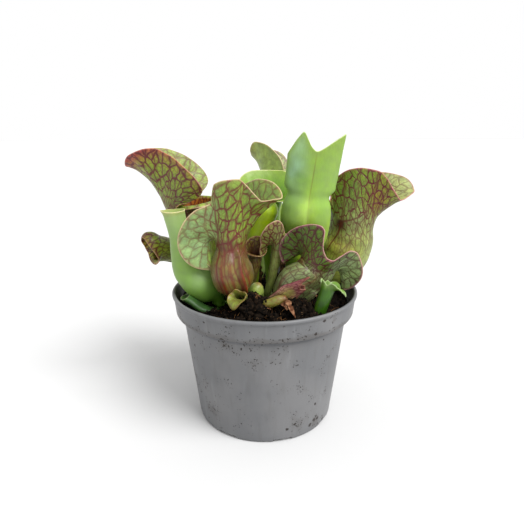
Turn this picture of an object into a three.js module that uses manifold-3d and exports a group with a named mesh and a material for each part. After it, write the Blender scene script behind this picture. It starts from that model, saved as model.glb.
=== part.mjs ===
// A purple pitcher plant in a grey nursery pot, in millimetres, +Z up.
// The origin is the centre of the pot's foot, on the surface it stands on.
// The viewer of the main view is on the -Y side.
import * as THREE from "three";
import { mergeVertices } from "three/addons/utils/BufferGeometryUtils.js";
import Module from "manifold-3d";

const wasm = await Module();
wasm.setup();

// Driving dimensions of the pot: a 9 cm nursery pot with a collar below its rim.
const POT_HEIGHT = 65;
const POT_SIDES = 40;
const DRAIN_HOLES = 8;
const DRAIN_RADIUS = 2.8;
const DRAIN_CIRCLE = 23.5;
const FOOT_NOTCHES = 8;
const FOOT_NOTCH_WIDTH = 9;
const FOOT_NOTCH_HEIGHT = 1.5;
const FOOT_INNER_RADIUS = 30;

// Half outline of the pot as [radius, height], from the middle of its underside round the rim
// to the middle of the floor.
const POT_OUTLINE = [
  [0, 0],
  [17, 0],
  [18.6, 1.5],
  [28.4, 1.5],
  [FOOT_INNER_RADIUS, 0],
  [33.2, 0],
  [33.9, 0.7],
  [40.3, 54.2],
  [43.1, 54.6],
  [43.5, 55.3],
  [44.3, 62.9],
  [45, 63.5],
  [45.1, 64.4],
  [44.6, POT_HEIGHT],
  [43.9, POT_HEIGHT],
  [43.4, 64.4],
  [42.3, 56.2],
  [39.1, 53.9],
  [33, 3.9],
  [32, 2.9],
  [18, 2.9],
  [16.2, 1.4],
  [0, 1.4],
];

// The soil fills the pot to a clumpy surface, higher in a mound at the front and lower at the right.
const SOIL_LEVEL = 58.6;
const SOIL_FLOOR = 3.3;
const SOIL_SIDE = [
  [31.4, SOIL_FLOOR],
  [32.3, 4.6],
  [38.4, 53.6],
  [41.5, 56.2],
];
const SOIL_SPOKES = 32;
const SOIL_RINGS = 8;

const GAP = 0.35; // air between touching pieces
const LEAF_WALL = 0.8;
const HOLLOW_FROM = 0.45; // a leaf's tube is solid below this place on its spine
const RAY_STEPS = 24; // straight steps along a ray of a hood

// The plain holes that the stalks stand in.
const HOLE_SIDES = 9;
const HOLE_GAP = 0.45;

// The rhizome, a short thick stem whose crown stands just above the soil.
const RHIZOME = { centre: [0, 3, 52.5], radii: [12, 9.5, 7] };
const ROOTS = 5;
const ROOT_LENGTH = 24;

const DEG = Math.PI / 180;
const UP = new THREE.Vector3(0, 0, 1);

const FOLIAGE = {
  veined: { color: 0x6f8f3c, roughness: 0.45 },
  young: { color: 0x86b254, roughness: 0.4 },
  lime: { color: 0x9dbb2c, roughness: 0.4 },
  dark: { color: 0x3f6b35, roughness: 0.5 },
  bright: { color: 0x4f9a2a, roughness: 0.45 },
  withered: { color: 0x7a4a45, roughness: 0.75 },
};

const STUMP_SIDES = 10;
const STUMP_RINGS = 6;

// Ray counts round a leaf, along its tube and along its hood.
const LARGE = [20, 8, 5];
const MEDIUM = [16, 6, 4];
const SMALL = [12, 6, 3];

// The rolled lip at the front of a mouth, as [length, slant, lean, curl].
const LIP = [3.2, 0, 50, 100];

// Each leaf grows from the rhizome at crown, [azimuth, elevation] in degrees, and follows its spine
// to the mouth. back is the azimuth that the hood's back faces.
// girth lists [place on the spine, half width, half depth].
// rim lists [angle round the mouth from its front, length past the mouth, slant towards the front,
// lean, curl]: lean is how far the hood tips outward at once, and curl is how far it bends on outward
// up to its edge.
// wing is the crest along the tube, [angle round the tube, height].
const LEAVES = {
  pitcher_rear_left: {
    crown: [172, 22],
    spine: [[-20, 10, 60], [-30, 12, 66], [-36, 13, 78], [-35.5, 12, 92], [-37, 11, 104]],
    back: 178,
    girth: [[0, 1.8, 1.8], [0.3, 3.2, 3], [0.6, 10, 10], [0.84, 9, 10], [1, 10, 12]],
    wing: [0, 2.5],
    rim: [
      [0, ...LIP], [60, ...LIP], [104, ...LIP], [112, 11, 85, 10, 0], [118, 20, 76, 8, 0],
      [125, 24, 58, 6, 0], [135, 27, 38, 3, 0], [148, 29.5, 22, 2, 5], [162, 30.5, 8, 2, 24],
      [180, 28, 0, 2, 56], [200, 30.5, 3, 2, 30], [215, 31, 8, -3, 15], [225, 30, 14, -5, 0],
      [232, 28, 30, -4, 0], [237, 26, 52, 0, 0], [241, 24.5, 72, 2, 0], [245, 17, 78, 4, 0],
      [249, 9, 72, 8, 0], [254, ...LIP], [300, ...LIP],
    ],
    detail: LARGE,
    finish: "veined",
  },
  pitcher_front_left: {
    crown: [228, 25],
    spine: [
      [-9, -8.5, 61], [-11.6, -13, 66.6], [-13.4, -16, 73], [-15.2, -17.5, 80.4], [-15, -17, 88],
      [-15, -17, 91.5],
    ],
    back: -30,
    girth: [
      [0, 1.8, 1.8], [0.25, 2.6, 2.6], [0.4, 4, 4], [0.48, 7.4, 7], [0.57, 9.9, 9], [0.67, 10.2, 9.2],
      [0.78, 9.2, 8.4], [0.88, 7.4, 7], [0.94, 6.7, 6.6], [1, 7, 7],
    ],
    wing: [150, 2.2],
    rim: [
      [0, ...LIP], [36, ...LIP], [41, 17, 0, 180, 0], [45, 17.5, 0, 156, 0], [50, 18.2, 0, 118, 0],
      [55, 18.6, 0, 84, 0], [61, 18.8, 0, 57, 0], [67, 18.8, 0, 33, 0], [73, 18.2, 0, 15, 0],
      [79, 18.6, 0, 6, 0], [84, 22.5, 0, 4, 0], [90, 26.5, 0, 2, 0], [110, 28, 0, 0, 0],
      [138, 28.6, 0, 0, 0], [158, 26, 0, -4, 15], [178, 22, 0, -2, 50], [196, 26.5, 0, 22, 30],
      [216, 28.5, 0, 12, 15], [238, 27.5, 5, 6, 5], [254, 24, 35, 8, 0], [266, 15, 65, 15, 0],
      [276, ...LIP], [330, ...LIP],
    ],
    detail: LARGE,
    finish: "veined",
  },
  pitcher_right: {
    crown: [-8, 18],
    spine: [[20, 2.5, 61], [28.4, 5.5, 66.5], [38, 10, 75.6], [42.8, 12.6, 85], [44.2, 12.6, 96]],
    back: -12,
    girth: [
      [0, 1.8, 1.8], [0.3, 3, 3], [0.52, 9, 10.4], [0.68, 11.8, 12.8], [0.84, 11.8, 12.2],
      [0.94, 10.8, 11], [1, 10.6, 11.2],
    ],
    wing: [0, 2],
    rim: [
      [0, 8.5, 0, 26, 24], [34, 9, 0, 22, 14], [42, 11, 12, 14, 0], [49, 15, 24, 10, 0],
      [56, 19, 18, 5, 0], [64, 22, 12, 2, 0], [76, 24.6, 6, 0, 0], [98, 26, 2, 0, 0],
      [124, 25.6, 0, 2, 5], [146, 22.5, 0, 8, 4], [156, 19.5, 0, 15, 8], [166, 17.6, 0, 23, 15],
      [174, 16.8, 0, 29, 21], [181, 17, 0, 33, 25], [198, 26.5, 0, 36, 36], [212, 29.2, 0, 31, 26],
      [226, 27.6, 0, 25, 17], [242, 24, 18, 16, 10], [256, 17, 55, 15, 0], [267, 9, 85, 20, 0],
      [277, ...LIP], [312, ...LIP], [336, 6, 0, 34, 50],
    ],
    detail: LARGE,
    finish: "veined",
  },
  pitcher_front_right: {
    crown: [-42, 20],
    spine: [
      [11, -8, 57.5], [11.6, -13, 61.5], [13.2, -14, 67], [17.6, -13.6, 72.5], [22.8, -13, 76],
      [24.2, -13, 79],
    ],
    back: -60,
    girth: [
      [0, 1.8, 1.8], [0.22, 3, 3], [0.45, 9.6, 7], [0.65, 12, 7.8], [0.86, 10.6, 7], [1, 9.8, 7.4],
    ],
    wing: [195, 1.4],
    rim: [
      [0, ...LIP], [32, ...LIP], [38, 11, 0, 150, 0], [44, 12.5, 0, 112, 0], [52, 13.6, 0, 66, 0],
      [62, 15.2, 0, 32, 0], [72, 17, 0, 14, 0], [84, 17.8, 0, 4, 0], [96, 16.8, 0, 0, 0],
      [108, 13.8, 0, 0, 0], [122, 10.4, 0, 0, 0], [136, 8.2, 0, 2, 0], [151, 6.8, 0, 8, 5],
      [167, 7.2, 0, 12, 8], [182, 10.4, 0, 12, 0], [197, 14.4, 0, 14, 0], [211, 15.2, 0, 22, 0],
      [223, 14, 0, 48, 0], [233, 13.2, 0, 92, 0], [242, 12, 0, 150, 0], [249, ...LIP], [330, ...LIP],
    ],
    detail: LARGE,
    finish: "veined",
  },
  pitcher_far_left: {
    crown: [150, 12],
    spine: [[-15, 21, 61], [-24, 28, 68], [-35, 30.5, 72.3], [-47.5, 25.5, 76.9], [-55.3, 19, 79.6]],
    back: 15,
    girth: [[0, 1.6, 1.6], [0.3, 2.4, 2.4], [0.6, 4.6, 4.6], [0.85, 5.4, 5.8], [1, 5.8, 6.8]],
    wing: [0, 1.2],
    rim: [
      [0, 2.6, 0, 30, 60], [50, 3, 0, 30, 60], [85, 5, 20, 20, -20], [120, 9.5, 10, 16, -64],
      [150, 12, 0, 20, -92], [180, 13, 0, 22, -104], [210, 12, 0, 20, -92], [240, 9.5, 10, 16, -64],
      [275, 5, 20, 20, -20], [310, 3, 0, 30, 60],
    ],
    detail: MEDIUM,
    finish: "veined",
  },
  pitcher_rear_center: {
    crown: [118, 20],
    spine: [[-4, 21, 61], [0, 31, 78], [3, 36, 98], [5, 37.3, 110]],
    back: 172,
    girth: [[0, 1.6, 1.6], [0.3, 2.6, 2.6], [0.7, 5.6, 5.6], [0.9, 5, 5], [1, 5.5, 6]],
    wing: [0, 1.5],
    rim: [
      [0, ...LIP], [60, ...LIP], [98, 8, 80, 20, 0], [112, 17, 52, 10, 0], [130, 22, 28, 6, 0],
      [150, 20, 10, 8, 12], [168, 17, 0, 12, 30], [180, 19, 0, 5, 46], [205, 23, 0, 4, 24],
      [226, 21, 14, 2, 14], [240, 17, 45, 6, 10], [252, 10, 80, 15, 15], [264, ...LIP],
    ],
    detail: MEDIUM,
    finish: "young",
  },
  pitcher_rear_green: {
    crown: [72, 45],
    spine: [[3, 14, 64], [3, 15.5, 80], [2, 16.5, 94], [2, 16.5, 104]],
    back: 95,
    girth: [[0, 1.6, 1.6], [0.3, 2.8, 2.8], [0.7, 6, 5], [0.9, 6, 4.6], [1, 7, 5]],
    wing: [0, 1],
    rim: [
      [0, 2.5, 0, 40, 80], [60, 2.5, 0, 40, 70], [90, 9, 50, 20, 15], [120, 14, 25, 12, 10],
      [150, 16, 5, 6, 6], [180, 16, 0, 6, 8], [210, 16, 5, 6, 6], [240, 14, 25, 12, 10],
      [270, 9, 50, 20, 15], [300, 2.5, 0, 40, 70],
    ],
    detail: MEDIUM,
    finish: "young",
  },
  young_pitcher_center: {
    crown: [18, 45],
    spine: [[11, 4.5, 63], [16.4, 5, 76], [19.4, 3, 92], [19.7, -1, 104], [21.4, -3, 117.5]],
    back: 92,
    girth: [
      [0, 1.9, 1.9], [0.2, 3.6, 3.1], [0.4, 9.2, 6.4], [0.57, 11.6, 6.6], [0.7, 12, 7.4], [0.8, 11.5, 6.2],
      [0.885, 9.8, 4.5], [0.945, 11.9, 4.3], [1, 12, 4.2],
    ],
    wing: [0, -0.9],
    rim: [
      [0, 13.2, 0, 0, 0], [15, 15, 0, 0, 0], [30, 17.4, 0, 0, 0], [48, 19.8, 0, 0, 0],
      [70, 21.4, 0, 0, 0], [88, 21, 0, -2, 0], [106, 13, 0, -4, 0], [145, 10, 0, -4, 0],
      [180, 10, 0, -5, 0], [225, 9.5, 0, -4, 0], [262, 9.5, 0, 1, 0], [280, 11, 0, 1, 0],
      [297, 14, 0, 0, 0], [315, 18.2, 0, 0, 0], [327, 20.6, 0, 0, 0], [338, 17.8, 0, 0, 0],
      [349, 14.6, 0, 0, 0],
    ],
    detail: LARGE,
    finish: "young",
  },
  young_pitcher_left: {
    crown: [200, 12],
    spine: [
      [-17, -5, 56.5], [-21.5, -8.5, 59], [-23.2, -9, 63.5], [-28.5, -9.5, 68.5], [-35.3, -10, 77],
      [-38, -11.5, 87], [-39, -12, 95], [-40.3, -12, 102.5],
    ],
    back: 185,
    girth: [
      [0, 1.8, 1.8], [0.2, 2.3, 2.3], [0.27, 3.4, 3.4], [0.36, 7.2, 6.8], [0.46, 8.7, 8],
      [0.57, 8.3, 7.6], [0.7, 6, 5.8], [0.85, 4.2, 4.4], [1, 4.6, 4.8],
    ],
    wing: [0, 0.8],
    rim: [
      [0, 1.5, 0, 5, 0], [60, 2.5, 0, 30, 60], [90, 3, 0, 30, 70], [135, 3, 0, 20, 30],
      [180, 3.4, 0, 10, 15], [270, 2, 0, 10, 0],
    ],
    detail: MEDIUM,
    finish: "young",
  },
  young_pitcher_lime: {
    crown: [150, 62],
    spine: [[-5, 5, 66], [-5.2, 5.4, 80], [-3, 5.2, 92], [-0.4, 4.8, 101]],
    back: -80,
    girth: [[0, 1.5, 1.5], [0.3, 2.4, 2.4], [0.5, 4.6, 3.6], [0.75, 6.4, 4.6], [1, 7, 5.2]],
    wing: [0, 0],
    rim: [
      [0, 5, 0, -14, -30], [60, 6, 0, -16, -34], [90, 8.5, 0, -20, -50], [140, 10, 0, -24, -62],
      [180, 10.5, 0, -26, -66], [220, 10, 0, -24, -62], [270, 8.5, 0, -20, -50], [300, 6, 0, -16, -34],
    ],
    detail: SMALL,
    finish: "lime",
  },
  pitcher_center_folded: {
    crown: [-62, 52],
    spine: [[1.6, -5.4, 62], [3.4, -5.6, 71], [5, -5.3, 79], [6, -5.2, 86]],
    back: -30,
    girth: [[0, 1.5, 1.5], [0.4, 1.9, 1.9], [0.8, 2.4, 2.4], [1, 2.4, 3]],
    wing: [0, 0],
    rim: [
      [0, 2, 0, 40, 40], [22, 2, 0, 40, 40], [30, 9.5, 0, 160, 0], [39, 7.4, 0, 130, 0],
      [49, 6.4, 0, 96, 0], [60, 9.6, 0, 60, 0], [73, 12.2, 0, 28, 0], [88, 13.2, 0, 8, 0],
      [112, 12, 0, 0, 0], [150, 8, 0, 0, 0], [190, 6, 0, 0, 0], [230, 7, 0, 2, 0], [265, 5, 10, 10, 0],
      [300, 2, 0, 40, 40],
    ],
    detail: SMALL,
    finish: "veined",
  },
  pitcher_center_small: {
    crown: [226, 62],
    spine: [[-6, -1.3, 64], [-5.8, -2.1, 72], [-4.4, -2.2, 81]],
    back: 80,
    girth: [[0, 1.4, 1.4], [0.4, 1.9, 1.9], [0.8, 3, 2.8], [1, 3.4, 3]],
    wing: [0, 0],
    rim: [
      [0, 2, 0, 50, 50], [60, 2.5, 10, 40, 40], [100, 6, 20, 10, 10], [140, 9, 0, -2, -3],
      [180, 9.5, 0, -5, -5], [220, 9, 0, -2, -3], [260, 6, 20, 10, 10], [300, 2.5, 10, 40, 40],
    ],
    detail: SMALL,
    finish: "veined",
  },
  leaf_low_left: {
    crown: [214, -14],
    spine: [[-13, -9.3, 55.6], [-21, -13.6, 56.6], [-28.6, -15.4, 59.2], [-34.6, -15.6, 63.8]],
    back: 185,
    girth: [[0, 1.6, 1.6], [0.3, 1.8, 1.8], [0.6, 2.8, 2], [0.85, 3.5, 2.1], [1, 3.7, 2]],
    wing: [0, 0],
    rim: [[0, 1.5, 0, 0, 0], [90, 2.5, 0, 6, 0], [180, 4, 0, 0, 0], [270, 2.5, 0, 6, 0]],
    detail: SMALL,
    finish: "dark",
  },
  leaf_stub_right: {
    crown: [-52, -24],
    spine: [[14, -15, 51], [20, -24, 54.5], [24.2, -27.2, 63], [27, -26.6, 72.2]],
    back: -60,
    girth: [[0, 1.6, 1.6], [0.3, 2, 2], [0.6, 2.8, 2.6], [0.85, 3, 2.8], [1, 3.3, 3]],
    wing: [0, 0.8],
    rim: [
      [0, 2.5, 0, 0, 0], [40, 4, 0, 5, 10], [65, 2, 0, 5, 0], [95, 4.2, 0, 10, 15], [125, 2.5, 0, 0, 0],
      [160, 4, 0, 10, 10], [190, 4, 0, 30, 50], [225, 7, 0, 60, 110], [255, 5, 0, 60, 100],
      [285, 5.5, 0, 40, 80], [315, 3, 0, 10, 10], [340, 3.5, 0, 0, 0],
    ],
    detail: MEDIUM,
    finish: "bright",
  },
  leaf_withered: {
    crown: [-84, 22],
    spine: [[1, -14, 61], [4.2, -24.2, 66], [8.4, -27.4, 70], [12.2, -27.6, 72.4]],
    back: 100,
    girth: [
      [0, 1.5, 1.5], [0.35, 1.8, 1.8], [0.52, 3.2, 1.4], [0.7, 5, 1.3], [0.87, 5.2, 1.2], [1, 4.2, 1.2],
    ],
    wing: [0, 0],
    rim: [
      [0, 3, 0, 4, 0], [50, 5, 0, 4, 0], [90, 3.5, 0, 0, 0], [130, 5, 0, 8, 0], [180, 4, 0, 2, 0],
      [225, 7, 0, 0, 0], [270, 9.5, 0, 4, 0], [320, 5, 0, 6, 0],
    ],
    detail: SMALL,
    finish: "withered",
  },
  leaf_ragged_front: {
    crown: [-108, -4],
    spine: [[-5, -14, 56.5], [-7.4, -20, 61], [-9.6, -25, 65.5], [-10.6, -27.4, 69]],
    back: 60,
    girth: [[0, 1.4, 1.4], [0.4, 1.7, 1.7], [0.8, 2.8, 2], [1, 3.5, 2.1]],
    wing: [0, 0],
    rim: [
      [0, 6, 0, 60, 90], [35, 4, 0, 30, 40], [70, 4.5, 0, 10, 0], [100, 2.5, 0, 0, 0], [140, 3.5, 0, 0, 0],
      [180, 2, 0, 0, 0], [220, 3.5, 0, 0, 0], [260, 2, 0, 10, 0], [300, 3.2, 0, 20, 40],
      [330, 4.6, 0, 50, 90],
    ],
    detail: SMALL,
    finish: "lime",
  },
};

// Solid stumps of old leaf stalks, as [crown, spine, radii along it].
const STUMPS = {
  stump_center: {
    crown: [-108, 40],
    spine: [[-3.5, -10, 61], [-4, -11.5, 66], [-2.6, -12, 70.5]],
    radii: [[0, 1.6], [0.45, 3], [0.75, 3.6], [0.93, 2.4], [1, 0.9]],
    color: 0x8fae55,
  },
  stump_rear: {
    crown: [38, 10],
    spine: [[14, 14, 57], [18, 19, 63], [19, 20, 69]],
    radii: [[0, 1.6], [0.5, 2.4], [0.9, 2.2], [1, 1]],
    color: 0x8a7a4c,
  },
  stump_yellow: {
    crown: [-94, -10],
    spine: [[-0.6, -14.5, 56], [-2.2, -22, 60.4], [-1, -28.4, 65], [3.4, -31.7, 68.6], [9, -31.9, 70.8]],
    radii: [[0, 1.4], [0.4, 1.6], [0.7, 2.1], [0.9, 2.2], [1, 1]],
    color: 0xa9a24a,
  },
};

// Curve through [x, value] pairs without overshoot, as a monotone cubic; period makes it a loop.
function smoothCurve(pairs, period = 0) {
  const points = pairs.map(([x, y]) => [x, y]);
  if (period) {
    const [first, second] = points;
    const last = points[points.length - 1];
    const before = points[points.length - 2];
    points.unshift([last[0] - period, last[1]]);
    points.unshift([before[0] - period, before[1]]);
    points.push([first[0] + period, first[1]], [second[0] + period, second[1]]);
  }
  const count = points.length;
  const chords = points.slice(1).map(([x, y], i) => (y - points[i][1]) / (x - points[i][0]));
  const slopes = points.map((_, i) => {
    if (i === 0) return chords[0];
    if (i === count - 1) return chords[count - 2];
    const product = chords[i - 1] * chords[i];
    return product <= 0 ? 0 : (2 * product) / (chords[i - 1] + chords[i]);
  });
  return (at) => {
    const x = period ? ((at % period) + period) % period : at;
    if (x <= points[0][0]) return points[0][1];
    if (x >= points[count - 1][0]) return points[count - 1][1];
    let i = 0;
    while (x > points[i + 1][0]) i += 1;
    const [x0, y0] = points[i];
    const [x1, y1] = points[i + 1];
    const width = x1 - x0;
    const t = (x - x0) / width;
    const back = 1 - t;
    return (
      y0 * (1 + 2 * t) * back * back +
      slopes[i] * width * t * back * back +
      y1 * t * t * (3 - 2 * t) -
      slopes[i + 1] * width * t * t * back
    );
  };
}

const smoothStep = (t) => {
  const x = Math.min(1, Math.max(0, t));
  return x * x * (3 - 2 * x);
};

// The point on the rhizome's skin at an azimuth and elevation in degrees, moved out along its normal.
function rhizomePoint(azimuth, elevation, out) {
  const [rx, ry, rz] = RHIZOME.radii;
  const flat = Math.cos(elevation * DEG);
  const unit = new THREE.Vector3(
    flat * Math.cos(azimuth * DEG),
    flat * Math.sin(azimuth * DEG),
    Math.sin(elevation * DEG),
  );
  const skin = new THREE.Vector3(unit.x * rx, unit.y * ry, unit.z * rz);
  const normal = new THREE.Vector3(unit.x / rx, unit.y / ry, unit.z / rz).normalize();
  return skin.add(new THREE.Vector3(...RHIZOME.centre)).addScaledVector(normal, out);
}

// A leaf's outer surface. theta is the angle round it from its front; s is the place on its spine, 0 at
// the stalk's foot and 1 at the mouth.
function leafSurface(leaf) {
  const curve = growthPath(leaf);
  const back = new THREE.Vector3(Math.cos(leaf.back * DEG), Math.sin(leaf.back * DEG), 0);
  const side = back.clone().cross(UP);
  const halfWidth = smoothCurve(leaf.girth.map((g) => [g[0], g[1]]));
  const halfDepth = smoothCurve(leaf.girth.map((g) => [g[0], g[2]]));
  const lastPart = 0.05;
  const lastLength = lastPart * curve.getLength();
  const widthFlare = (halfWidth(1) - halfWidth(1 - lastPart)) / lastLength;
  const depthFlare = (halfDepth(1) - halfDepth(1 - lastPart)) / lastLength;
  const rimCurves = [1, 2, 3, 4].map((k) => smoothCurve(leaf.rim.map((r) => [r[0], r[k]]), 360));

  function frameAt(s) {
    const along = curve.getTangentAt(s);
    const across = side.clone().addScaledVector(along, -side.dot(along)).normalize();
    return { at: curve.getPointAt(s), along, across, front: across.clone().cross(along) };
  }
  function tubePoint(theta, s) {
    const { at, across, front } = frameAt(s);
    return at
      .addScaledVector(front, halfDepth(s) * Math.cos(theta))
      .addScaledVector(across, halfWidth(s) * Math.sin(theta));
  }
  // A ray of the hood: from the mouth's ring it turns towards the front by slant and outward by lean
  // and curl.
  function ray(theta) {
    const near = 0.01;
    const points = [tubePoint(theta, 1)];
    const { along, across, front } = frameAt(1);
    const grow = along
      .addScaledVector(front, depthFlare * Math.cos(theta))
      .addScaledVector(across, widthFlare * Math.sin(theta))
      .normalize();
    const round = tubePoint(theta + near, 1).sub(tubePoint(theta - near, 1)).normalize();
    const out = round.clone().cross(grow).normalize();
    const [length, slant, lean, curl] = rimCurves.map((rimCurve) => rimCurve(theta / DEG));
    const turn = Math.sin(theta) > 0 ? -slant : slant;
    for (let i = 1; i <= RAY_STEPS; i += 1) {
      const t = (i - 0.5) / RAY_STEPS;
      const eased = smoothStep(t / 0.3);
      const turned = turn * DEG * eased;
      const bent = (lean * eased + curl * t * t) * DEG;
      const step = length / RAY_STEPS;
      points.push(
        points[i - 1]
          .clone()
          .addScaledVector(grow, step * Math.cos(bent) * Math.cos(turned))
          .addScaledVector(round, step * Math.cos(bent) * Math.sin(turned))
          .addScaledVector(out, step * Math.sin(bent)),
      );
    }
    return (t) => {
      const x = t * RAY_STEPS;
      const i = Math.min(RAY_STEPS - 1, Math.floor(x));
      return points[i].clone().lerp(points[i + 1], x - i);
    };
  }
  return { frameAt, tubePoint, ray };
}

// Angles round the mouth, closer together where the rim is long and at the keel.
function rayAngles(surface, count) {
  const fine = 360;
  const weights = [];
  let before = surface.ray(0)(1);
  for (let i = 1; i <= fine; i += 1) {
    const now = surface.ray((i / fine) * 2 * Math.PI)(1);
    weights.push(now.distanceTo(before));
    before = now;
  }
  const total = weights.reduce((a, b) => a + b, 0);
  const share = weights.map((w, i) => {
    const away = Math.min(i, fine - i);
    return (0.55 * w) / total + 0.45 / fine + 0.012 * Math.exp(-((away / 9) ** 2));
  });
  const whole = share.reduce((a, b) => a + b, 0);
  const angles = [0];
  let sum = 0;
  for (let i = 0; i < fine && angles.length < count; i += 1) {
    const next = sum + share[i] / whole;
    while (angles.length < count && next >= angles.length / count) {
      const part = (angles.length / count - sum) / (share[i] / whole);
      angles.push(((i + part) / fine) * 2 * Math.PI);
    }
    sum = next;
  }
  return angles;
}

// Rings of points of a leaf's outer skin, from the stalk's foot to the rim, and the normals there.
function leafGrid(leaf) {
  const [rays, tubeRings, hoodRings] = leaf.detail;
  const surface = leafSurface(leaf);
  const angles = rayAngles(surface, rays);
  const rings = [];
  for (let i = 0; i <= tubeRings; i += 1)
    rings.push(angles.map((a) => surface.tubePoint(a, i / tubeRings)));
  const hood = angles.map((a) => surface.ray(a));
  for (let i = 1; i <= hoodRings; i += 1) rings.push(hood.map((ray) => ray(i / hoodRings)));
  const normals = rings.map((ring, i) =>
    ring.map((_, j) => {
      const round = ring[(j + 1) % rays].clone().sub(ring[(j + rays - 1) % rays]);
      const above = rings[Math.min(i + 1, rings.length - 1)][j];
      const below = rings[Math.max(i - 1, 0)][j];
      return round.cross(above.clone().sub(below)).normalize();
    }),
  );
  return { angles, rings, normals };
}

function geometryFrom(points, triangles) {
  const geometry = new THREE.BufferGeometry();
  const places = points.flatMap((p) => [p.x, p.y, p.z]);
  geometry.setAttribute("position", new THREE.Float32BufferAttribute(places, 3));
  geometry.setIndex(triangles);
  return geometry;
}

// Triangles that join ring after ring; a flipped skin faces the other way.
function skin(points, triangles, rings, flipped) {
  const count = rings[0].length;
  const starts = rings.map((ring) => {
    points.push(...ring);
    return points.length - count;
  });
  for (let i = 0; i + 1 < rings.length; i += 1)
    for (let j = 0; j < count; j += 1) {
      const a = starts[i] + j;
      const b = starts[i] + ((j + 1) % count);
      const c = starts[i + 1] + ((j + 1) % count);
      const d = starts[i + 1] + j;
      if (flipped) triangles.push(a, c, b, a, d, c);
      else triangles.push(a, b, c, a, c, d);
    }
  return starts;
}

function cap(points, triangles, start, count, centre, flipped) {
  points.push(centre);
  const middle = points.length - 1;
  for (let j = 0; j < count; j += 1) {
    const a = start + j;
    const b = start + ((j + 1) % count);
    if (flipped) triangles.push(middle, b, a);
    else triangles.push(middle, a, b);
  }
}

const middleOf = (ring) =>
  ring.reduce((sum, p) => sum.add(p), new THREE.Vector3()).divideScalar(ring.length);

// A closed leaf: outer skin with its wing, inner skin, rim and the stalk's foot.
function leafGeometry(leaf) {
  const { angles, rings, normals } = leafGrid(leaf);
  const [wingAngle, wingHeight] = leaf.wing;
  const tubeRings = leaf.detail[1];
  const outer = rings.map((ring, i) => {
    const s = i / tubeRings;
    const fade = smoothStep((s - 0.15) / 0.3) * smoothStep((1 - s) / 0.15);
    return ring.map((p, j) => {
      const away = Math.abs(((angles[j] / DEG - wingAngle + 540) % 360) - 180);
      const crest = wingHeight * fade * Math.exp(-((away / 9) ** 2));
      return p.clone().addScaledVector(normals[i][j], crest);
    });
  });
  const firstInner = Math.ceil(HOLLOW_FROM * tubeRings);
  const inner = rings
    .slice(firstInner)
    .map((ring, i) => ring.map((p, j) => p.clone().addScaledVector(normals[i + firstInner][j], -LEAF_WALL)));
  const points = [];
  const triangles = [];
  const outerStarts = skin(points, triangles, outer, false);
  const innerStarts = skin(points, triangles, inner, true);
  const count = angles.length;
  const outerRim = outerStarts[outerStarts.length - 1];
  const innerRim = innerStarts[innerStarts.length - 1];
  for (let j = 0; j < count; j += 1) {
    const k = (j + 1) % count;
    triangles.push(outerRim + j, outerRim + k, innerRim + k, outerRim + j, innerRim + k, innerRim + j);
  }
  cap(points, triangles, outerStarts[0], count, middleOf(outer[0]), true);
  cap(points, triangles, innerStarts[0], count, middleOf(inner[0]), false);
  return geometryFrom(points, triangles);
}

// A closed round stalk along a spine; swell adds to its radius.
function stalkGeometry(path, radiusAt, sides, steps, swell = 0) {
  const frames = path.computeFrenetFrames(steps, false);
  const rings = [];
  for (let i = 0; i <= steps; i += 1) {
    const s = i / steps;
    const centre = path.getPointAt(s);
    const radius = radiusAt(s) + swell;
    rings.push(
      Array.from({ length: sides }, (_, j) => {
        const angle = (j / sides) * 2 * Math.PI;
        return centre
          .clone()
          .addScaledVector(frames.normals[i], radius * Math.cos(angle))
          .addScaledVector(frames.binormals[i], radius * Math.sin(angle));
      }),
    );
  }
  const points = [];
  const triangles = [];
  const starts = skin(points, triangles, rings, false);
  cap(points, triangles, starts[0], sides, path.getPointAt(0), true);
  cap(points, triangles, starts[steps], sides, path.getPointAt(1), false);
  return geometryFrom(points, triangles);
}

function growthPath(growth) {
  return new THREE.CatmullRomCurve3(
    [
      rhizomePoint(...growth.crown, GAP),
      rhizomePoint(...growth.crown, 4),
      ...growth.spine.map((p) => new THREE.Vector3(...p)),
    ],
    false,
    "centripetal",
  );
}

function solidOf(geometry) {
  const bare = geometry.clone();
  bare.deleteAttribute("normal");
  bare.deleteAttribute("uv");
  const merged = mergeVertices(bare, 1e-4);
  return new wasm.Manifold(
    new wasm.Mesh({
      numProp: 3,
      vertProperties: new Float32Array(merged.attributes.position.array),
      triVerts: new Uint32Array(merged.index.array),
    }),
  );
}

function geometryOf(solid) {
  const mesh = solid.getMesh();
  const geometry = new THREE.BufferGeometry();
  geometry.setAttribute("position", new THREE.BufferAttribute(new Float32Array(mesh.vertProperties), 3));
  geometry.setIndex(new THREE.BufferAttribute(new Uint32Array(mesh.triVerts), 1));
  return geometry;
}

function meshOf(name, geometry, finish) {
  const shaded = geometry.clone();
  shaded.computeVertexNormals();
  const mesh = new THREE.Mesh(shaded, new THREE.MeshStandardMaterial({ metalness: 0, ...finish }));
  mesh.name = name;
  return mesh;
}

function potSolid() {
  const outline = POT_OUTLINE.map(([r, z]) => new THREE.Vector2(r, z));
  let pot = solidOf(new THREE.LatheGeometry(outline, POT_SIDES).rotateX(Math.PI / 2));
  for (let i = 0; i < DRAIN_HOLES; i += 1) {
    const hole = wasm.Manifold.cylinder(8, DRAIN_RADIUS, DRAIN_RADIUS, 12)
      .translate([DRAIN_CIRCLE, 0, -2])
      .rotate([0, 0, (i * 360) / DRAIN_HOLES]);
    pot = pot.subtract(hole);
  }
  for (let i = 0; i < FOOT_NOTCHES; i += 1) {
    const notch = wasm.Manifold.cube([8, FOOT_NOTCH_WIDTH, FOOT_NOTCH_HEIGHT + 1], true)
      .translate([FOOT_INNER_RADIUS + 3, 0, (FOOT_NOTCH_HEIGHT - 1) / 2])
      .rotate([0, 0, ((i + 0.3) * 360) / FOOT_NOTCHES]);
    pot = pot.subtract(notch);
  }
  return pot;
}

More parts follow.
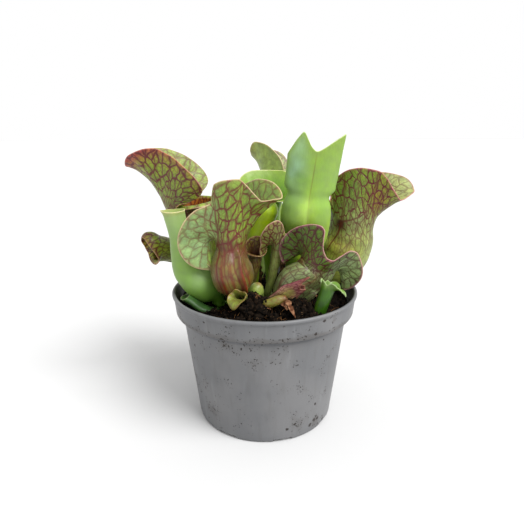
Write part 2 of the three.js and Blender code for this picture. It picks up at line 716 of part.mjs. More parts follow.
// The soil's surface height at a place: clumps, a mound with two heaps at the front, a hollow at the right.
function soilHeight(x, y) {
  const clumps =
    0.8 * Math.sin(0.42 * x + 1.1) * Math.sin(0.39 * y + 0.4) +
    0.55 * Math.sin(0.83 * x - 0.6 * y + 2.0) +
    0.4 * Math.sin(0.35 * x + 0.97 * y + 4.1);
  const mound = 4.6 * Math.exp(-(((x - 2) / 17) ** 2) - ((y + 27) / 10) ** 2);
  const leftHeap = 3.2 * Math.exp(-(((x + 6) / 7) ** 2) - ((y + 28) / 7) ** 2);
  const rightHeap = 2.4 * Math.exp(-(((x - 14) / 8) ** 2) - ((y + 28) / 7) ** 2);
  const hollow = -2.4 * Math.exp(-(((x - 34) / 12) ** 2) - ((y + 6) / 18) ** 2);
  return SOIL_LEVEL + clumps + mound + leftHeap + rightHeap + hollow;
}

function soilSolid() {
  const ringOf = (radius, heightAt) =>
    Array.from({ length: SOIL_SPOKES }, (_, j) => {
      const angle = (j / SOIL_SPOKES) * 2 * Math.PI;
      const x = radius * Math.cos(angle);
      const y = radius * Math.sin(angle);
      return new THREE.Vector3(x, y, heightAt(x, y));
    });
  const rings = SOIL_SIDE.map(([radius, height]) => ringOf(radius, () => height));
  const edge = SOIL_SIDE[SOIL_SIDE.length - 1][0];
  for (let i = SOIL_RINGS; i > 0; i -= 1) rings.push(ringOf((edge * i) / SOIL_RINGS, soilHeight));
  const points = [];
  const triangles = [];
  const starts = skin(points, triangles, rings, false);
  cap(points, triangles, starts[0], SOIL_SPOKES, new THREE.Vector3(0, 0, SOIL_FLOOR), true);
  const top = new THREE.Vector3(0, 0, soilHeight(0, 0));
  cap(points, triangles, starts[rings.length - 1], SOIL_SPOKES, top, false);
  return solidOf(geometryFrom(points, triangles));
}

// The rhizome with its roots; swell adds to every radius.
function rhizomeSolid(swell) {
  const [rx, ry, rz] = RHIZOME.radii.map((r) => r + swell);
  let body = wasm.Manifold.sphere(1, 16).scale([rx, ry, rz]).translate(RHIZOME.centre);
  const [cx, cy, cz] = RHIZOME.centre;
  for (let i = 0; i < ROOTS; i += 1) {
    const angle = ((i + 0.5) / ROOTS) * 2 * Math.PI;
    const across = new THREE.Vector3(Math.cos(angle), Math.sin(angle), 0);
    const path = new THREE.CatmullRomCurve3([
      new THREE.Vector3(cx, cy, cz - 3).addScaledVector(across, 3),
      new THREE.Vector3(cx, cy, cz - 6).addScaledVector(across, 10),
      new THREE.Vector3(cx, cy, cz - ROOT_LENGTH * 0.6).addScaledVector(across, 13 + (i % 3)),
      new THREE.Vector3(cx, cy, cz - ROOT_LENGTH).addScaledVector(across, 14 - (i % 2) * 4),
    ]);
    body = body.add(solidOf(stalkGeometry(path, (s) => 1.5 - 0.9 * s, 6, 6, swell)));
  }
  return body;
}

// A leaf's tube made bigger all round, to cut its plain hole in the soil.
function holeSolid(leaf) {
  const surface = leafSurface(leaf);
  const corner = 1 / Math.cos(Math.PI / HOLE_SIDES);
  const rings = [];
  for (let i = 0; i <= leaf.detail[1]; i += 1) {
    const s = i / leaf.detail[1];
    const extra = HOLE_GAP + (s > 0.15 ? leaf.wing[1] : 0);
    const centre = surface.frameAt(s).at;
    rings.push(
      Array.from({ length: HOLE_SIDES }, (_, j) => {
        const arm = surface.tubePoint((j / HOLE_SIDES) * 2 * Math.PI, s).sub(centre);
        return centre.clone().addScaledVector(arm, (corner * (arm.length() + extra)) / arm.length());
      }),
    );
  }
  const sink = rhizomePoint(...leaf.crown, -GAP).sub(rhizomePoint(...leaf.crown, GAP));
  rings.unshift(rings[0].map((p) => p.clone().add(sink)));
  const points = [];
  const triangles = [];
  const starts = skin(points, triangles, rings, false);
  cap(points, triangles, starts[0], HOLE_SIDES, middleOf(rings[0]), true);
  cap(points, triangles, starts[rings.length - 1], HOLE_SIDES, middleOf(rings[rings.length - 1]), false);
  return solidOf(geometryFrom(points, triangles));
}

const stumpGeometry = (stump, swell) =>
  stalkGeometry(growthPath(stump), smoothCurve(stump.radii), STUMP_SIDES, STUMP_RINGS, swell);

const holes = [
  rhizomeSolid(GAP),
  ...Object.values(LEAVES).map(holeSolid),
  ...Object.values(STUMPS).map((stump) => solidOf(stumpGeometry(stump, GAP))),
];
const soil = holes.reduce((rest, hole) => rest.subtract(hole), soilSolid());

const plant = new THREE.Group();
plant.add(meshOf("pot", geometryOf(potSolid()), { color: 0x8d9094, roughness: 0.6 }));
plant.add(meshOf("soil", geometryOf(soil), { color: 0x2a211c, roughness: 1 }));
plant.add(meshOf("rhizome", geometryOf(rhizomeSolid(0)), { color: 0x6b4a34, roughness: 0.8 }));
for (const [name, leaf] of Object.entries(LEAVES))
  plant.add(meshOf(name, leafGeometry(leaf), FOLIAGE[leaf.finish]));
for (const [name, stump] of Object.entries(STUMPS))
  plant.add(meshOf(name, stumpGeometry(stump, 0), { color: stump.color, roughness: 0.6 }));

export default plant;
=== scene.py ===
import math

import bpy
import numpy as np
from mathutils import Matrix, Vector


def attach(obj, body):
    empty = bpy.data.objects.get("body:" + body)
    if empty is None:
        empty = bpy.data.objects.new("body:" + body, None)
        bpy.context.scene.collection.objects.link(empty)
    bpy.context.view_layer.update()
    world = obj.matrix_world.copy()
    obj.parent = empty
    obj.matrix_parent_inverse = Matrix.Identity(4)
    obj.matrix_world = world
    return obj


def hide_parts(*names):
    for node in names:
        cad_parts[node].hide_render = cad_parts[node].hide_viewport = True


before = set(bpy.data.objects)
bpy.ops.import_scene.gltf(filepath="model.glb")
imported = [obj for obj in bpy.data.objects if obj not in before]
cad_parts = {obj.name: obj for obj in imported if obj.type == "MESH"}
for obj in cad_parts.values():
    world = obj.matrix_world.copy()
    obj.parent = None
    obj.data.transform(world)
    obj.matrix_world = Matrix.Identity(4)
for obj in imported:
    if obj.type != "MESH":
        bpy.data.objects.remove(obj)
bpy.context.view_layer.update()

MM = 0.001

# The camera of the main view, fitted to the pot's ellipses.
CAMERA_AT = (-1.24, -208.49, 136.64)
CAMERA_PITCH = 15.875
CAMERA_ROLL = 0.004
CAMERA_LENS = 30.49
CAMERA_SENSOR = 36

# The studio: a wide soft sun, white light from all round, and a grey floor just under the pot.
SUN_TOWARDS = (0.52, -0.42, 0.8)
SUN_SPREAD = 34
SUN_STRENGTH = 3.7
SKY_STRENGTH = 1.0
FLOOR_GREY = 0.575
FLOOR_REACH = 12000
FLOOR_DROP = 0.02

# Half outline of the pot as [radius, height], from the middle of its underside round the rim to its floor.
POT_OUTLINE = [
    [0, 0], [17, 0], [18.6, 1.5], [28.4, 1.5], [30, 0], [33.2, 0], [33.9, 0.7], [40.3, 54.2], [43.1, 54.6],
    [43.5, 55.3], [44.3, 62.9], [45, 63.5], [45.1, 64.4], [44.6, 65], [43.9, 65], [43.4, 64.4], [42.3, 56.2],
    [39.1, 53.9], [33, 3.9], [32, 2.9], [18, 2.9], [16.2, 1.4], [0, 1.4],
]
POT_WALL = POT_OUTLINE[5:14]
POT_SEGMENTS = 192
POT_ROUNDING = 0.35
POT_STEP = 3.0
SHARP_FROM = 38
DRAIN_HOLES = 8
DRAIN_RADIUS = 2.8
DRAIN_CIRCLE = 23.5
DRAIN_SIDES = 32
FOOT_NOTCHES = 8
FOOT_NOTCH_WIDTH = 9
FOOT_NOTCH_HEIGHT = 1.5
FOOT_NOTCH_DEPTH = 7
FOOT_NOTCH_TURN = 0.3
FOOT_INNER_RADIUS = 30

# The shade painted under the collar, and the inner wall above the soil, which is dirty all round
# and is also painted darker for the shade it lies in.
COLLAR_SHADE_HEIGHT = 53.2
MID_WALL_RADIUS = 38
INNER_WALL_RADIUS = 43.6
INNER_WALL_HEIGHTS = (54.5, 64.2)
INNER_WALL_DIRT_AND_SHADE = 1.3

# Patches of dirt on the pot's wall as [azimuth, height, spread, strength].
DIRT = [
    [-64, 8, 5, 0.9], [-56, 12, 4, 0.8], [-68, 14, 3, 0.6], [-46, 5, 4, 0.9], [-116, 50, 4, 0.7],
    [-108, 48, 4, 0.7], [-105, 53, 4, 0.5], [-134, 46, 3, 0.6], [-142, 22, 6, 0.6], [-138, 12, 5, 0.6],
    [-146, 34, 4, 0.5], [-48, 61, 2, 0.9], [-112, 8, 4, 0.5], [-95, 44, 5, 0.4], [-80, 50, 4, 0.4],
    [-150, 60, 3, 0.5], [-40, 40, 5, 0.4], [30, 30, 8, 0.5], [120, 45, 8, 0.6], [200, 25, 6, 0.5],
    [75, 15, 6, 0.6], [155, 10, 7, 0.7], [60, 57, 4, 0.6], [100, 28, 5, 0.5],
]
# Grains of dirt as [cells in a metre, full within, gone past, dirt and painted shade where they start,
# dirt and painted shade where all show].
GRAINS = [[800, 0.2, 0.32, 0.56, 0.66], [330, 0.16, 0.24, 0.66, 0.74]]
# Flecks of dried soil on the pot's wall as [azimuth, height, size].
FLECKS = [
    [-146, 43.8, 0.7], [-115, 54.6, 1], [-116, 50.5, 0.6], [-113, 50.4, 0.5], [-105, 50, 0.6],
    [-126, 61.2, 0.6], [-98, 60.2, 0.4], [-50, 50.4, 0.5], [-56, 62.1, 0.8], [-49, 15.9, 0.6], [-44, 6.2, 1],
    [-48, 6.6, 0.8], [-46, 8.2, 0.5], [-52, 4.6, 0.9], [-35, 2.8, 0.8], [-36, 5, 0.6], [-67, 8.5, 0.8],
    [-73, 6.6, 0.7], [-152, 35.2, 0.4], [-155, 24.7, 0.4], [-158, 4.8, 0.5], [-143, 4.4, 0.5],
    [-38, 20.2, 0.45], [-99, 49.6, 0.4], [-42, 2.4, 0.7], [40, 44, 0.7], [86, 12, 0.8], [128, 30, 0.6],
    [176, 8, 0.9], [150, 56, 0.7], [15, 20, 0.6],
]

# How finely the soil, its crumbs and the stems are drawn, as (sides, rings).
SOIL_GRID = (240, 90)
CLUMP_GRID = (14, 10)
CRUMB_GRID = (8, 5)
FIBRE_GRID = (5, 11)
STRIP_GRID = (16, 40)
RHIZOME_GRID = (72, 48)
ROOT_GRID = (20, 40)
STUMP_GRID = (40, 48)

SOIL_LEVEL = 58.6
SOIL_SIDE = [[31.4, 3.3], [32.3, 4.6], [38.4, 53.6], [41.5, 56.2]]
SOIL_SEED = 7
SOIL_REACH = 40
LOOSE_CRUMBS = 1000
LOOSE_CRUMB_REACH = 40.5
CRUMB_SIZES = [0.35, 0.5, 0.7, 1.0, 1.4]
CRUMB_SHARES = [0.3, 0.3, 0.22, 0.13, 0.05]
CLUMPS = 260
FIBRES = 170
FIBRE_STEPS = 5
FIBRE_REACH = 38
FIBRE_END_REACH = 39.5
# Where the clumps lie as [middle, spread, height of the stack].
HEAPS = [
    [(-6.0, -28.5), (4.2, 3.4), 4.5], [(14.0, -29.0), (4.4, 3.2), 3.0], [(2.0, -27.0), (10.0, 5.0), 0.6],
]
# Rough matt stuff as [dark tone, light tone, strength of the pale specks].
ROUGH_TONES = {
    "soil": ["040303", "18110c", 0.25],
    "crumbs": ["060504", "1e160f", 0.45],
    "fibres": ["3a2416", "7a5836", 0.0],
    # The old bases are dark brown, and also stand in for the shade between the stalks.
    "old_bases_and_shade": ["1e150c", "5c4428", 0.3],
    "dry_scraps": ["50301f", "946c50", 0.3],
    "rhizome": ["3a2718", "6b4a34", 0.0],
}

RHIZOME_CENTRE = np.array([0.0, 3.0, 52.5])
RHIZOME_RADII = np.array([12.0, 9.5, 7.0])
ROOTS = 5
ROOT_LENGTH = 24
ROOT_RADIUS = [[0, 1.5], [1, 0.6]]

# Stalks start a gap off the rhizome and grow straight out of it at first. Walls thin out towards the rim.
GAP = 0.35
STRAIGHT = 4
LEAF_WALL = 0.8
RIM_WALL = 0.45
LEAF_SHADE = np.array([0.72, 0.7, 0.5])  # the tones below are as lit; the skin reflects this share of them
HOLLOW_FROM = 0.45
FLARE_FROM = 0.95
RAY_STEPS = 24
STUMP_GIRTH = 14.0
STUMP_EDGE = 9.0

# The rolled lip at the front of a mouth, as [length, slant, lean, curl].
LIP = [3.2, 0, 50, 100]

# Each leaf grows from the rhizome at crown, [azimuth, elevation], and follows its spine to the mouth. back
# is the azimuth that the hood's back faces, and wing the crest along the tube, [angle round the tube,
# height]. girth lists [place on the spine, half width, half depth], and rim [angle round the mouth from
# its front, length past the mouth, slant towards the front, lean, curl].
LEAVES = {
    "pitcher_rear_left": dict(
        crown=[172, 22], back=178, wing=[0, 2.5],
        spine=[[-20, 10, 60], [-30, 12, 66], [-36, 13, 78], [-35.5, 12, 92], [-37, 11, 104]],
        girth=[[0, 1.8, 1.8], [0.3, 3.2, 3], [0.6, 10, 10], [0.84, 9, 10], [1, 10, 12]],
        rim=[
            [0, *LIP], [60, *LIP], [104, *LIP], [112, 11, 85, 10, 0], [118, 20, 76, 8, 0],
            [125, 24, 58, 6, 0], [135, 27, 38, 3, 0], [148, 29.5, 22, 2, 5], [162, 30.5, 8, 2, 24],
            [180, 28, 0, 2, 56], [200, 30.5, 3, 2, 30], [215, 31, 8, -3, 15], [225, 30, 14, -5, 0],
            [232, 28, 30, -4, 0], [237, 26, 52, 0, 0], [241, 24.5, 72, 2, 0], [245, 17, 78, 4, 0],
            [249, 9, 72, 8, 0], [254, *LIP], [300, *LIP],
        ],
    ),
    "pitcher_front_left": dict(
        crown=[228, 25], back=-30, wing=[150, 2.2],
        spine=[
            [-9, -8.5, 61], [-11.6, -13, 66.6], [-13.4, -16, 73], [-15.2, -17.5, 80.4], [-15, -17, 88],
            [-15, -17, 91.5],
        ],
        girth=[
            [0, 1.8, 1.8], [0.25, 2.6, 2.6], [0.4, 4, 4], [0.48, 7.4, 7], [0.57, 9.9, 9], [0.67, 10.2, 9.2],
            [0.78, 9.2, 8.4], [0.88, 7.4, 7], [0.94, 6.7, 6.6], [1, 7, 7],
        ],
        rim=[
            [0, *LIP], [36, *LIP], [41, 17, 0, 180, 0], [45, 17.5, 0, 156, 0], [50, 18.2, 0, 118, 0],
            [55, 18.6, 0, 84, 0], [61, 18.8, 0, 57, 0], [67, 18.8, 0, 33, 0], [73, 18.2, 0, 15, 0],
            [79, 18.6, 0, 6, 0], [84, 22.5, 0, 4, 0], [90, 26.5, 0, 2, 0], [110, 28, 0, 0, 0],
            [138, 28.6, 0, 0, 0], [158, 26, 0, -4, 15], [178, 22, 0, -2, 50], [196, 26.5, 0, 22, 30],
            [216, 28.5, 0, 12, 15], [238, 27.5, 5, 6, 5], [254, 24, 35, 8, 0], [266, 15, 65, 15, 0],
            [276, *LIP], [330, *LIP],
        ],
    ),
    "pitcher_right": dict(
        crown=[-8, 18], back=-12, wing=[0, 2],
        spine=[[20, 2.5, 61], [28.4, 5.5, 66.5], [38, 10, 75.6], [42.8, 12.6, 85], [44.2, 12.6, 96]],
        girth=[
            [0, 1.8, 1.8], [0.3, 3, 3], [0.52, 9, 10.4], [0.68, 11.8, 12.8], [0.84, 11.8, 12.2],
            [0.94, 10.8, 11], [1, 10.6, 11.2],
        ],
        rim=[
            [0, 8.5, 0, 26, 24], [34, 9, 0, 22, 14], [42, 11, 12, 14, 0], [49, 15, 24, 10, 0],
            [56, 19, 18, 5, 0], [64, 22, 12, 2, 0], [76, 24.6, 6, 0, 0], [98, 26, 2, 0, 0],
            [124, 25.6, 0, 2, 5], [146, 22.5, 0, 8, 4], [156, 19.5, 0, 15, 8], [166, 17.6, 0, 23, 15],
            [174, 16.8, 0, 29, 21], [181, 17, 0, 33, 25], [198, 26.5, 0, 36, 36], [212, 29.2, 0, 31, 26],
            [226, 27.6, 0, 25, 17], [242, 24, 18, 16, 10], [256, 17, 55, 15, 0], [267, 9, 85, 20, 0],
            [277, *LIP], [312, *LIP], [336, 6, 0, 34, 50],
        ],
    ),
    "pitcher_front_right": dict(
        crown=[-42, 20], back=-60, wing=[195, 1.4],
        spine=[
            [11, -8, 57.5], [11.6, -13, 61.5], [13.2, -14, 67], [17.6, -13.6, 72.5], [22.8, -13, 76],
            [24.2, -13, 79],
        ],
        girth=[[0, 1.8, 1.8], [0.22, 3, 3], [0.45, 9.6, 7], [0.65, 12, 7.8], [0.86, 10.6, 7], [1, 9.8, 7.4]],
        rim=[
            [0, *LIP], [32, *LIP], [38, 11, 0, 150, 0], [44, 12.5, 0, 112, 0], [52, 13.6, 0, 66, 0],
            [62, 15.2, 0, 32, 0], [72, 17, 0, 14, 0], [84, 17.8, 0, 4, 0], [96, 16.8, 0, 0, 0],
            [108, 13.8, 0, 0, 0], [122, 10.4, 0, 0, 0], [136, 8.2, 0, 2, 0], [151, 6.8, 0, 8, 5],
            [167, 7.2, 0, 12, 8], [182, 10.4, 0, 12, 0], [197, 14.4, 0, 14, 0], [211, 15.2, 0, 22, 0],
            [223, 14, 0, 48, 0], [233, 13.2, 0, 92, 0], [242, 12, 0, 150, 0], [249, *LIP], [330, *LIP],
        ],
    ),
    "pitcher_far_left": dict(
        crown=[150, 12], back=15, wing=[0, 1.2],
        spine=[[-15, 21, 61], [-24, 28, 68], [-35, 30.5, 72.3], [-47.5, 25.5, 76.9], [-55.3, 19, 79.6]],
        girth=[[0, 1.6, 1.6], [0.3, 2.4, 2.4], [0.6, 4.6, 4.6], [0.85, 5.4, 5.8], [1, 5.8, 6.8]],
        rim=[
            [0, 2.6, 0, 30, 60], [50, 3, 0, 30, 60], [85, 5, 20, 20, -20], [120, 9.5, 10, 16, -64],
            [150, 12, 0, 20, -92], [180, 13, 0, 22, -104], [210, 12, 0, 20, -92], [240, 9.5, 10, 16, -64],
            [275, 5, 20, 20, -20], [310, 3, 0, 30, 60],
        ],
    ),
    "pitcher_rear_center": dict(
        crown=[118, 20], back=172, wing=[0, 1.5],
        spine=[[-4, 21, 61], [0, 31, 78], [3, 36, 98], [5, 37.3, 110]],
        girth=[[0, 1.6, 1.6], [0.3, 2.6, 2.6], [0.7, 5.6, 5.6], [0.9, 5, 5], [1, 5.5, 6]],
        rim=[
            [0, *LIP], [60, *LIP], [98, 8, 80, 20, 0], [112, 17, 52, 10, 0], [130, 22, 28, 6, 0],
            [150, 20, 10, 8, 12], [168, 17, 0, 12, 30], [180, 19, 0, 5, 46], [205, 23, 0, 4, 24],
            [226, 21, 14, 2, 14], [240, 17, 45, 6, 10], [252, 10, 80, 15, 15], [264, *LIP],
        ],
    ),
    "pitcher_rear_green": dict(
        crown=[72, 45], back=95, wing=[0, 1],
        spine=[[3, 14, 64], [3, 15.5, 80], [2, 16.5, 94], [2, 16.5, 104]],
        girth=[[0, 1.6, 1.6], [0.3, 2.8, 2.8], [0.7, 6, 5], [0.9, 6, 4.6], [1, 7, 5]],
        rim=[
            [0, 2.5, 0, 40, 80], [60, 2.5, 0, 40, 70], [90, 9, 50, 20, 15], [120, 14, 25, 12, 10],
            [150, 16, 5, 6, 6], [180, 16, 0, 6, 8], [210, 16, 5, 6, 6], [240, 14, 25, 12, 10],
            [270, 9, 50, 20, 15], [300, 2.5, 0, 40, 70],
        ],
    ),
    "young_pitcher_center": dict(
        crown=[18, 45], back=92, wing=[0, -0.9],
        spine=[[11, 4.5, 63], [16.4, 5, 76], [19.4, 3, 92], [19.7, -1, 104], [21.4, -3, 117.5]],
        girth=[
            [0, 1.9, 1.9], [0.2, 3.6, 3.1], [0.4, 9.2, 6.4], [0.57, 11.6, 6.6], [0.7, 12, 7.4],
            [0.8, 11.5, 6.2], [0.885, 9.8, 4.5], [0.945, 11.9, 4.3], [1, 12, 4.2],
        ],
        rim=[
            [0, 13.2, 0, 0, 0], [15, 15, 0, 0, 0], [30, 17.4, 0, 0, 0], [48, 19.8, 0, 0, 0],
            [70, 21.4, 0, 0, 0], [88, 21, 0, -2, 0], [106, 13, 0, -4, 0], [145, 10, 0, -4, 0],
            [180, 10, 0, -5, 0], [225, 9.5, 0, -4, 0], [262, 9.5, 0, 1, 0], [280, 11, 0, 1, 0],
            [297, 14, 0, 0, 0], [315, 18.2, 0, 0, 0], [327, 20.6, 0, 0, 0], [338, 17.8, 0, 0, 0],
            [349, 14.6, 0, 0, 0],
        ],
    ),
    "young_pitcher_left": dict(
        crown=[200, 12], back=185, wing=[0, 0.8],
        spine=[
            [-17, -5, 56.5], [-21.5, -8.5, 59], [-23.2, -9, 63.5], [-28.5, -9.5, 68.5], [-35.3, -10, 77],
            [-38, -11.5, 87], [-39, -12, 95], [-40.3, -12, 102.5],
        ],
        girth=[
            [0, 1.8, 1.8], [0.2, 2.3, 2.3], [0.27, 3.4, 3.4], [0.36, 7.2, 6.8], [0.46, 8.7, 8],
            [0.57, 8.3, 7.6], [0.7, 6, 5.8], [0.85, 4.2, 4.4], [1, 4.6, 4.8],
        ],
        rim=[
            [0, 1.5, 0, 5, 0], [60, 2.5, 0, 30, 60], [90, 3, 0, 30, 70], [135, 3, 0, 20, 30],
            [180, 3.4, 0, 10, 15], [270, 2, 0, 10, 0],
        ],
    ),
    "young_pitcher_lime": dict(
        crown=[150, 62], back=-80, wing=[0, 0],
        spine=[[-5, 5, 66], [-5.2, 5.4, 80], [-3, 5.2, 92], [-0.4, 4.8, 101]],
        girth=[[0, 1.5, 1.5], [0.3, 2.4, 2.4], [0.5, 4.6, 3.6], [0.75, 6.4, 4.6], [1, 7, 5.2]],
        rim=[
            [0, 5, 0, -14, -30], [60, 6, 0, -16, -34], [90, 8.5, 0, -20, -50], [140, 10, 0, -24, -62],
            [180, 10.5, 0, -26, -66], [220, 10, 0, -24, -62], [270, 8.5, 0, -20, -50], [300, 6, 0, -16, -34],
        ],
    ),
    "pitcher_center_folded": dict(
        crown=[-62, 52], back=-30, wing=[0, 0],
        spine=[[1.6, -5.4, 62], [3.4, -5.6, 71], [5, -5.3, 79], [6, -5.2, 86]],
        girth=[[0, 1.5, 1.5], [0.4, 1.9, 1.9], [0.8, 2.4, 2.4], [1, 2.4, 3]],
        rim=[
            [0, 2, 0, 40, 40], [22, 2, 0, 40, 40], [30, 9.5, 0, 160, 0], [39, 7.4, 0, 130, 0],
            [49, 6.4, 0, 96, 0], [60, 9.6, 0, 60, 0], [73, 12.2, 0, 28, 0], [88, 13.2, 0, 8, 0],
            [112, 12, 0, 0, 0], [150, 8, 0, 0, 0], [190, 6, 0, 0, 0], [230, 7, 0, 2, 0], [265, 5, 10, 10, 0],
            [300, 2, 0, 40, 40],
        ],
    ),
    "pitcher_center_small": dict(
        crown=[226, 62], back=80, wing=[0, 0],
        spine=[[-6, -1.3, 64], [-5.8, -2.1, 72], [-4.4, -2.2, 81]],
        girth=[[0, 1.4, 1.4], [0.4, 1.9, 1.9], [0.8, 3, 2.8], [1, 3.4, 3]],
        rim=[
            [0, 2, 0, 50, 50], [60, 2.5, 10, 40, 40], [100, 6, 20, 10, 10], [140, 9, 0, -2, -3],
            [180, 9.5, 0, -5, -5], [220, 9, 0, -2, -3], [260, 6, 20, 10, 10], [300, 2.5, 10, 40, 40],
        ],
    ),
    "leaf_low_left": dict(
        crown=[214, -14], back=185, wing=[0, 0],
        spine=[[-13, -9.3, 55.6], [-21, -13.6, 56.6], [-28.6, -15.4, 59.2], [-34.6, -15.6, 63.8]],
        girth=[[0, 1.6, 1.6], [0.3, 1.8, 1.8], [0.6, 2.8, 2], [0.85, 3.5, 2.1], [1, 3.7, 2]],
        rim=[[0, 1.5, 0, 0, 0], [90, 2.5, 0, 6, 0], [180, 4, 0, 0, 0], [270, 2.5, 0, 6, 0]],
    ),
    "leaf_stub_right": dict(
        crown=[-52, -24], back=-60, wing=[0, 0.8],
        spine=[[14, -15, 51], [20, -24, 54.5], [24.2, -27.2, 63], [27, -26.6, 72.2]],
        girth=[[0, 1.6, 1.6], [0.3, 2, 2], [0.6, 2.8, 2.6], [0.85, 3, 2.8], [1, 3.3, 3]],
        rim=[
            [0, 2.5, 0, 0, 0], [40, 4, 0, 5, 10], [65, 2, 0, 5, 0], [95, 4.2, 0, 10, 15],
            [125, 2.5, 0, 0, 0], [160, 4, 0, 10, 10], [190, 4, 0, 30, 50], [225, 7, 0, 60, 110],
            [255, 5, 0, 60, 100], [285, 5.5, 0, 40, 80], [315, 3, 0, 10, 10], [340, 3.5, 0, 0, 0],
        ],
    ),
    "leaf_withered": dict(
        crown=[-84, 22], back=100, wing=[0, 0],
        spine=[[1, -14, 61], [4.2, -24.2, 66], [8.4, -27.4, 70], [12.2, -27.6, 72.4]],
        girth=[
            [0, 1.5, 1.5], [0.35, 1.8, 1.8], [0.52, 3.2, 1.4], [0.7, 5, 1.3], [0.87, 5.2, 1.2],
            [1, 4.2, 1.2],
        ],
        rim=[
            [0, 3, 0, 4, 0], [50, 5, 0, 4, 0], [90, 3.5, 0, 0, 0], [130, 5, 0, 8, 0], [180, 4, 0, 2, 0],
            [225, 7, 0, 0, 0], [270, 9.5, 0, 4, 0], [320, 5, 0, 6, 0],
        ],
    ),
    "leaf_ragged_front": dict(
        crown=[-108, -4], back=60, wing=[0, 0],
        spine=[[-5, -14, 56.5], [-7.4, -20, 61], [-9.6, -25, 65.5], [-10.6, -27.4, 69]],
        girth=[[0, 1.4, 1.4], [0.4, 1.7, 1.7], [0.8, 2.8, 2], [1, 3.5, 2.1]],
        rim=[
            [0, 6, 0, 60, 90], [35, 4, 0, 30, 40], [70, 4.5, 0, 10, 0], [100, 2.5, 0, 0, 0],
            [140, 3.5, 0, 0, 0], [180, 2, 0, 0, 0], [220, 3.5, 0, 0, 0], [260, 2, 0, 10, 0],
            [300, 3.2, 0, 20, 40], [330, 4.6, 0, 50, 90],
        ],
    ),
}

# Old cut leaves: radii lists [place on the spine, radius].
STUMPS = {
    "stump_center": dict(
        crown=[-108, 40],
        spine=[[-3.5, -10, 61], [-4, -11.5, 66], [-2.6, -12, 70.5]],
        radii=[[0, 1.6], [0.45, 3], [0.75, 3.6], [0.93, 2.4], [1, 0.9]],
    ),
    "stump_rear": dict(
        crown=[38, 10],
        spine=[[14, 14, 57], [18, 19, 63], [19, 20, 69]],
        radii=[[0, 1.6], [0.5, 2.4], [0.9, 2.2], [1, 1]],
    ),
    "stump_yellow": dict(
        crown=[-94, -10],
        spine=[[-0.6, -14.5, 56], [-2.2, -22, 60.4], [-1, -28.4, 65], [3.4, -31.7, 68.6], [9, -31.9, 70.8]],
        radii=[[0, 1.4], [0.4, 1.6], [0.7, 2.1], [0.9, 2.2], [1, 1]],
    ),
}

# Thin dry strips as [path, half width, azimuth they face, fold, twist, seed].
# Old dark leaf bases round the rhizome. They also fill the gaps between the stalks behind, as dark stand-ins
# for the shade there.
OLD_BASES_AND_SHADE = [
    [[[8.5, 2, 57], [9, 1.5, 67], [8.6, 0, 75], [7.8, -1.5, 82]], 2.2, -95, 0.4, 0.6, 51],
    [[[-3, 11, 57], [-3.6, 12, 66], [-5, 13.5, 74], [-7, 14, 79]], 2.6, 95, 0.5, -0.5, 53],
    [[[9, 11, 56], [10, 12.5, 63], [11.5, 14, 70]], 2.4, 60, 0.4, 0.8, 55],
    [[[-12, 5, 56], [-14.5, 4, 62], [-17, 2.6, 67]], 2.2, 190, 0.5, 0.4, 57],
    [[[-8, -6, 57], [-9, -8.5, 63], [-10.5, -10.5, 68]], 1.8, -120, 0.4, -0.6, 59],
]
SCRAPS = [
    [[[8.6, -31.5, 70.5], [9.8, -33.5, 68.6], [11, -35.6, 66], [12.4, -37.4, 63.6]], 1.3, -90, 0.5, 1.2, 61],
    [[[6.6, -31.2, 69.4], [8.4, -33.8, 68], [9.4, -35, 66.4]], 1.1, -60, 0.6, -1.0, 63],
    [[[-1.2, -30.4, 67], [0.6, -32.8, 66.4], [2.4, -33.4, 65.8]], 1.0, -80, 0.5, 1.4, 65],
    [[[22, 8, 58.8], [25, 4, 59.2], [26, 1, 58.6]], 1.2, 20, 0.5, 1.0, 67],
    [[[-20, 20, 59.4], [-24, 17, 59.6], [-27, 15, 59.0]], 1.3, 120, 0.5, -0.8, 69],
]

# How finely a leaf is drawn, as [rays, rings up to the mouth, rings past it].
LARGE = [168, 70, 52]
MEDIUM = [120, 52, 38]
SMALL = [88, 42, 28]

# What a leaf has where its own look doesn't say. cell is the net's mesh across and along, line its width,
# and fine, halo and stripes the strengths of the fine net, of a halo round the veins and of veins a stripe
# apart. flush and margin are bands of colour along the rim, and relief, wave and crest shape the skin.
PLAIN_LOOK = dict(
    roughness=0.4, mottle=1.0, net=[[0, 0.0]], cell=(3.4, 4.2), vein="4a1418", line=0.13, fine=0.4, halo=0.3,
    stripe=7.5, stripes=0.75, flush=0.35, flush_width=1.7, flush_tone="a8605c", margin=0.7, margin_width=0.6,
    margin_tone="e3c3a6", relief=0.22, wave=0.4, wave_length=5.0, crest=1.0,
    spots=[], inside_spots=[], net_spots=[], strokes=[],
)

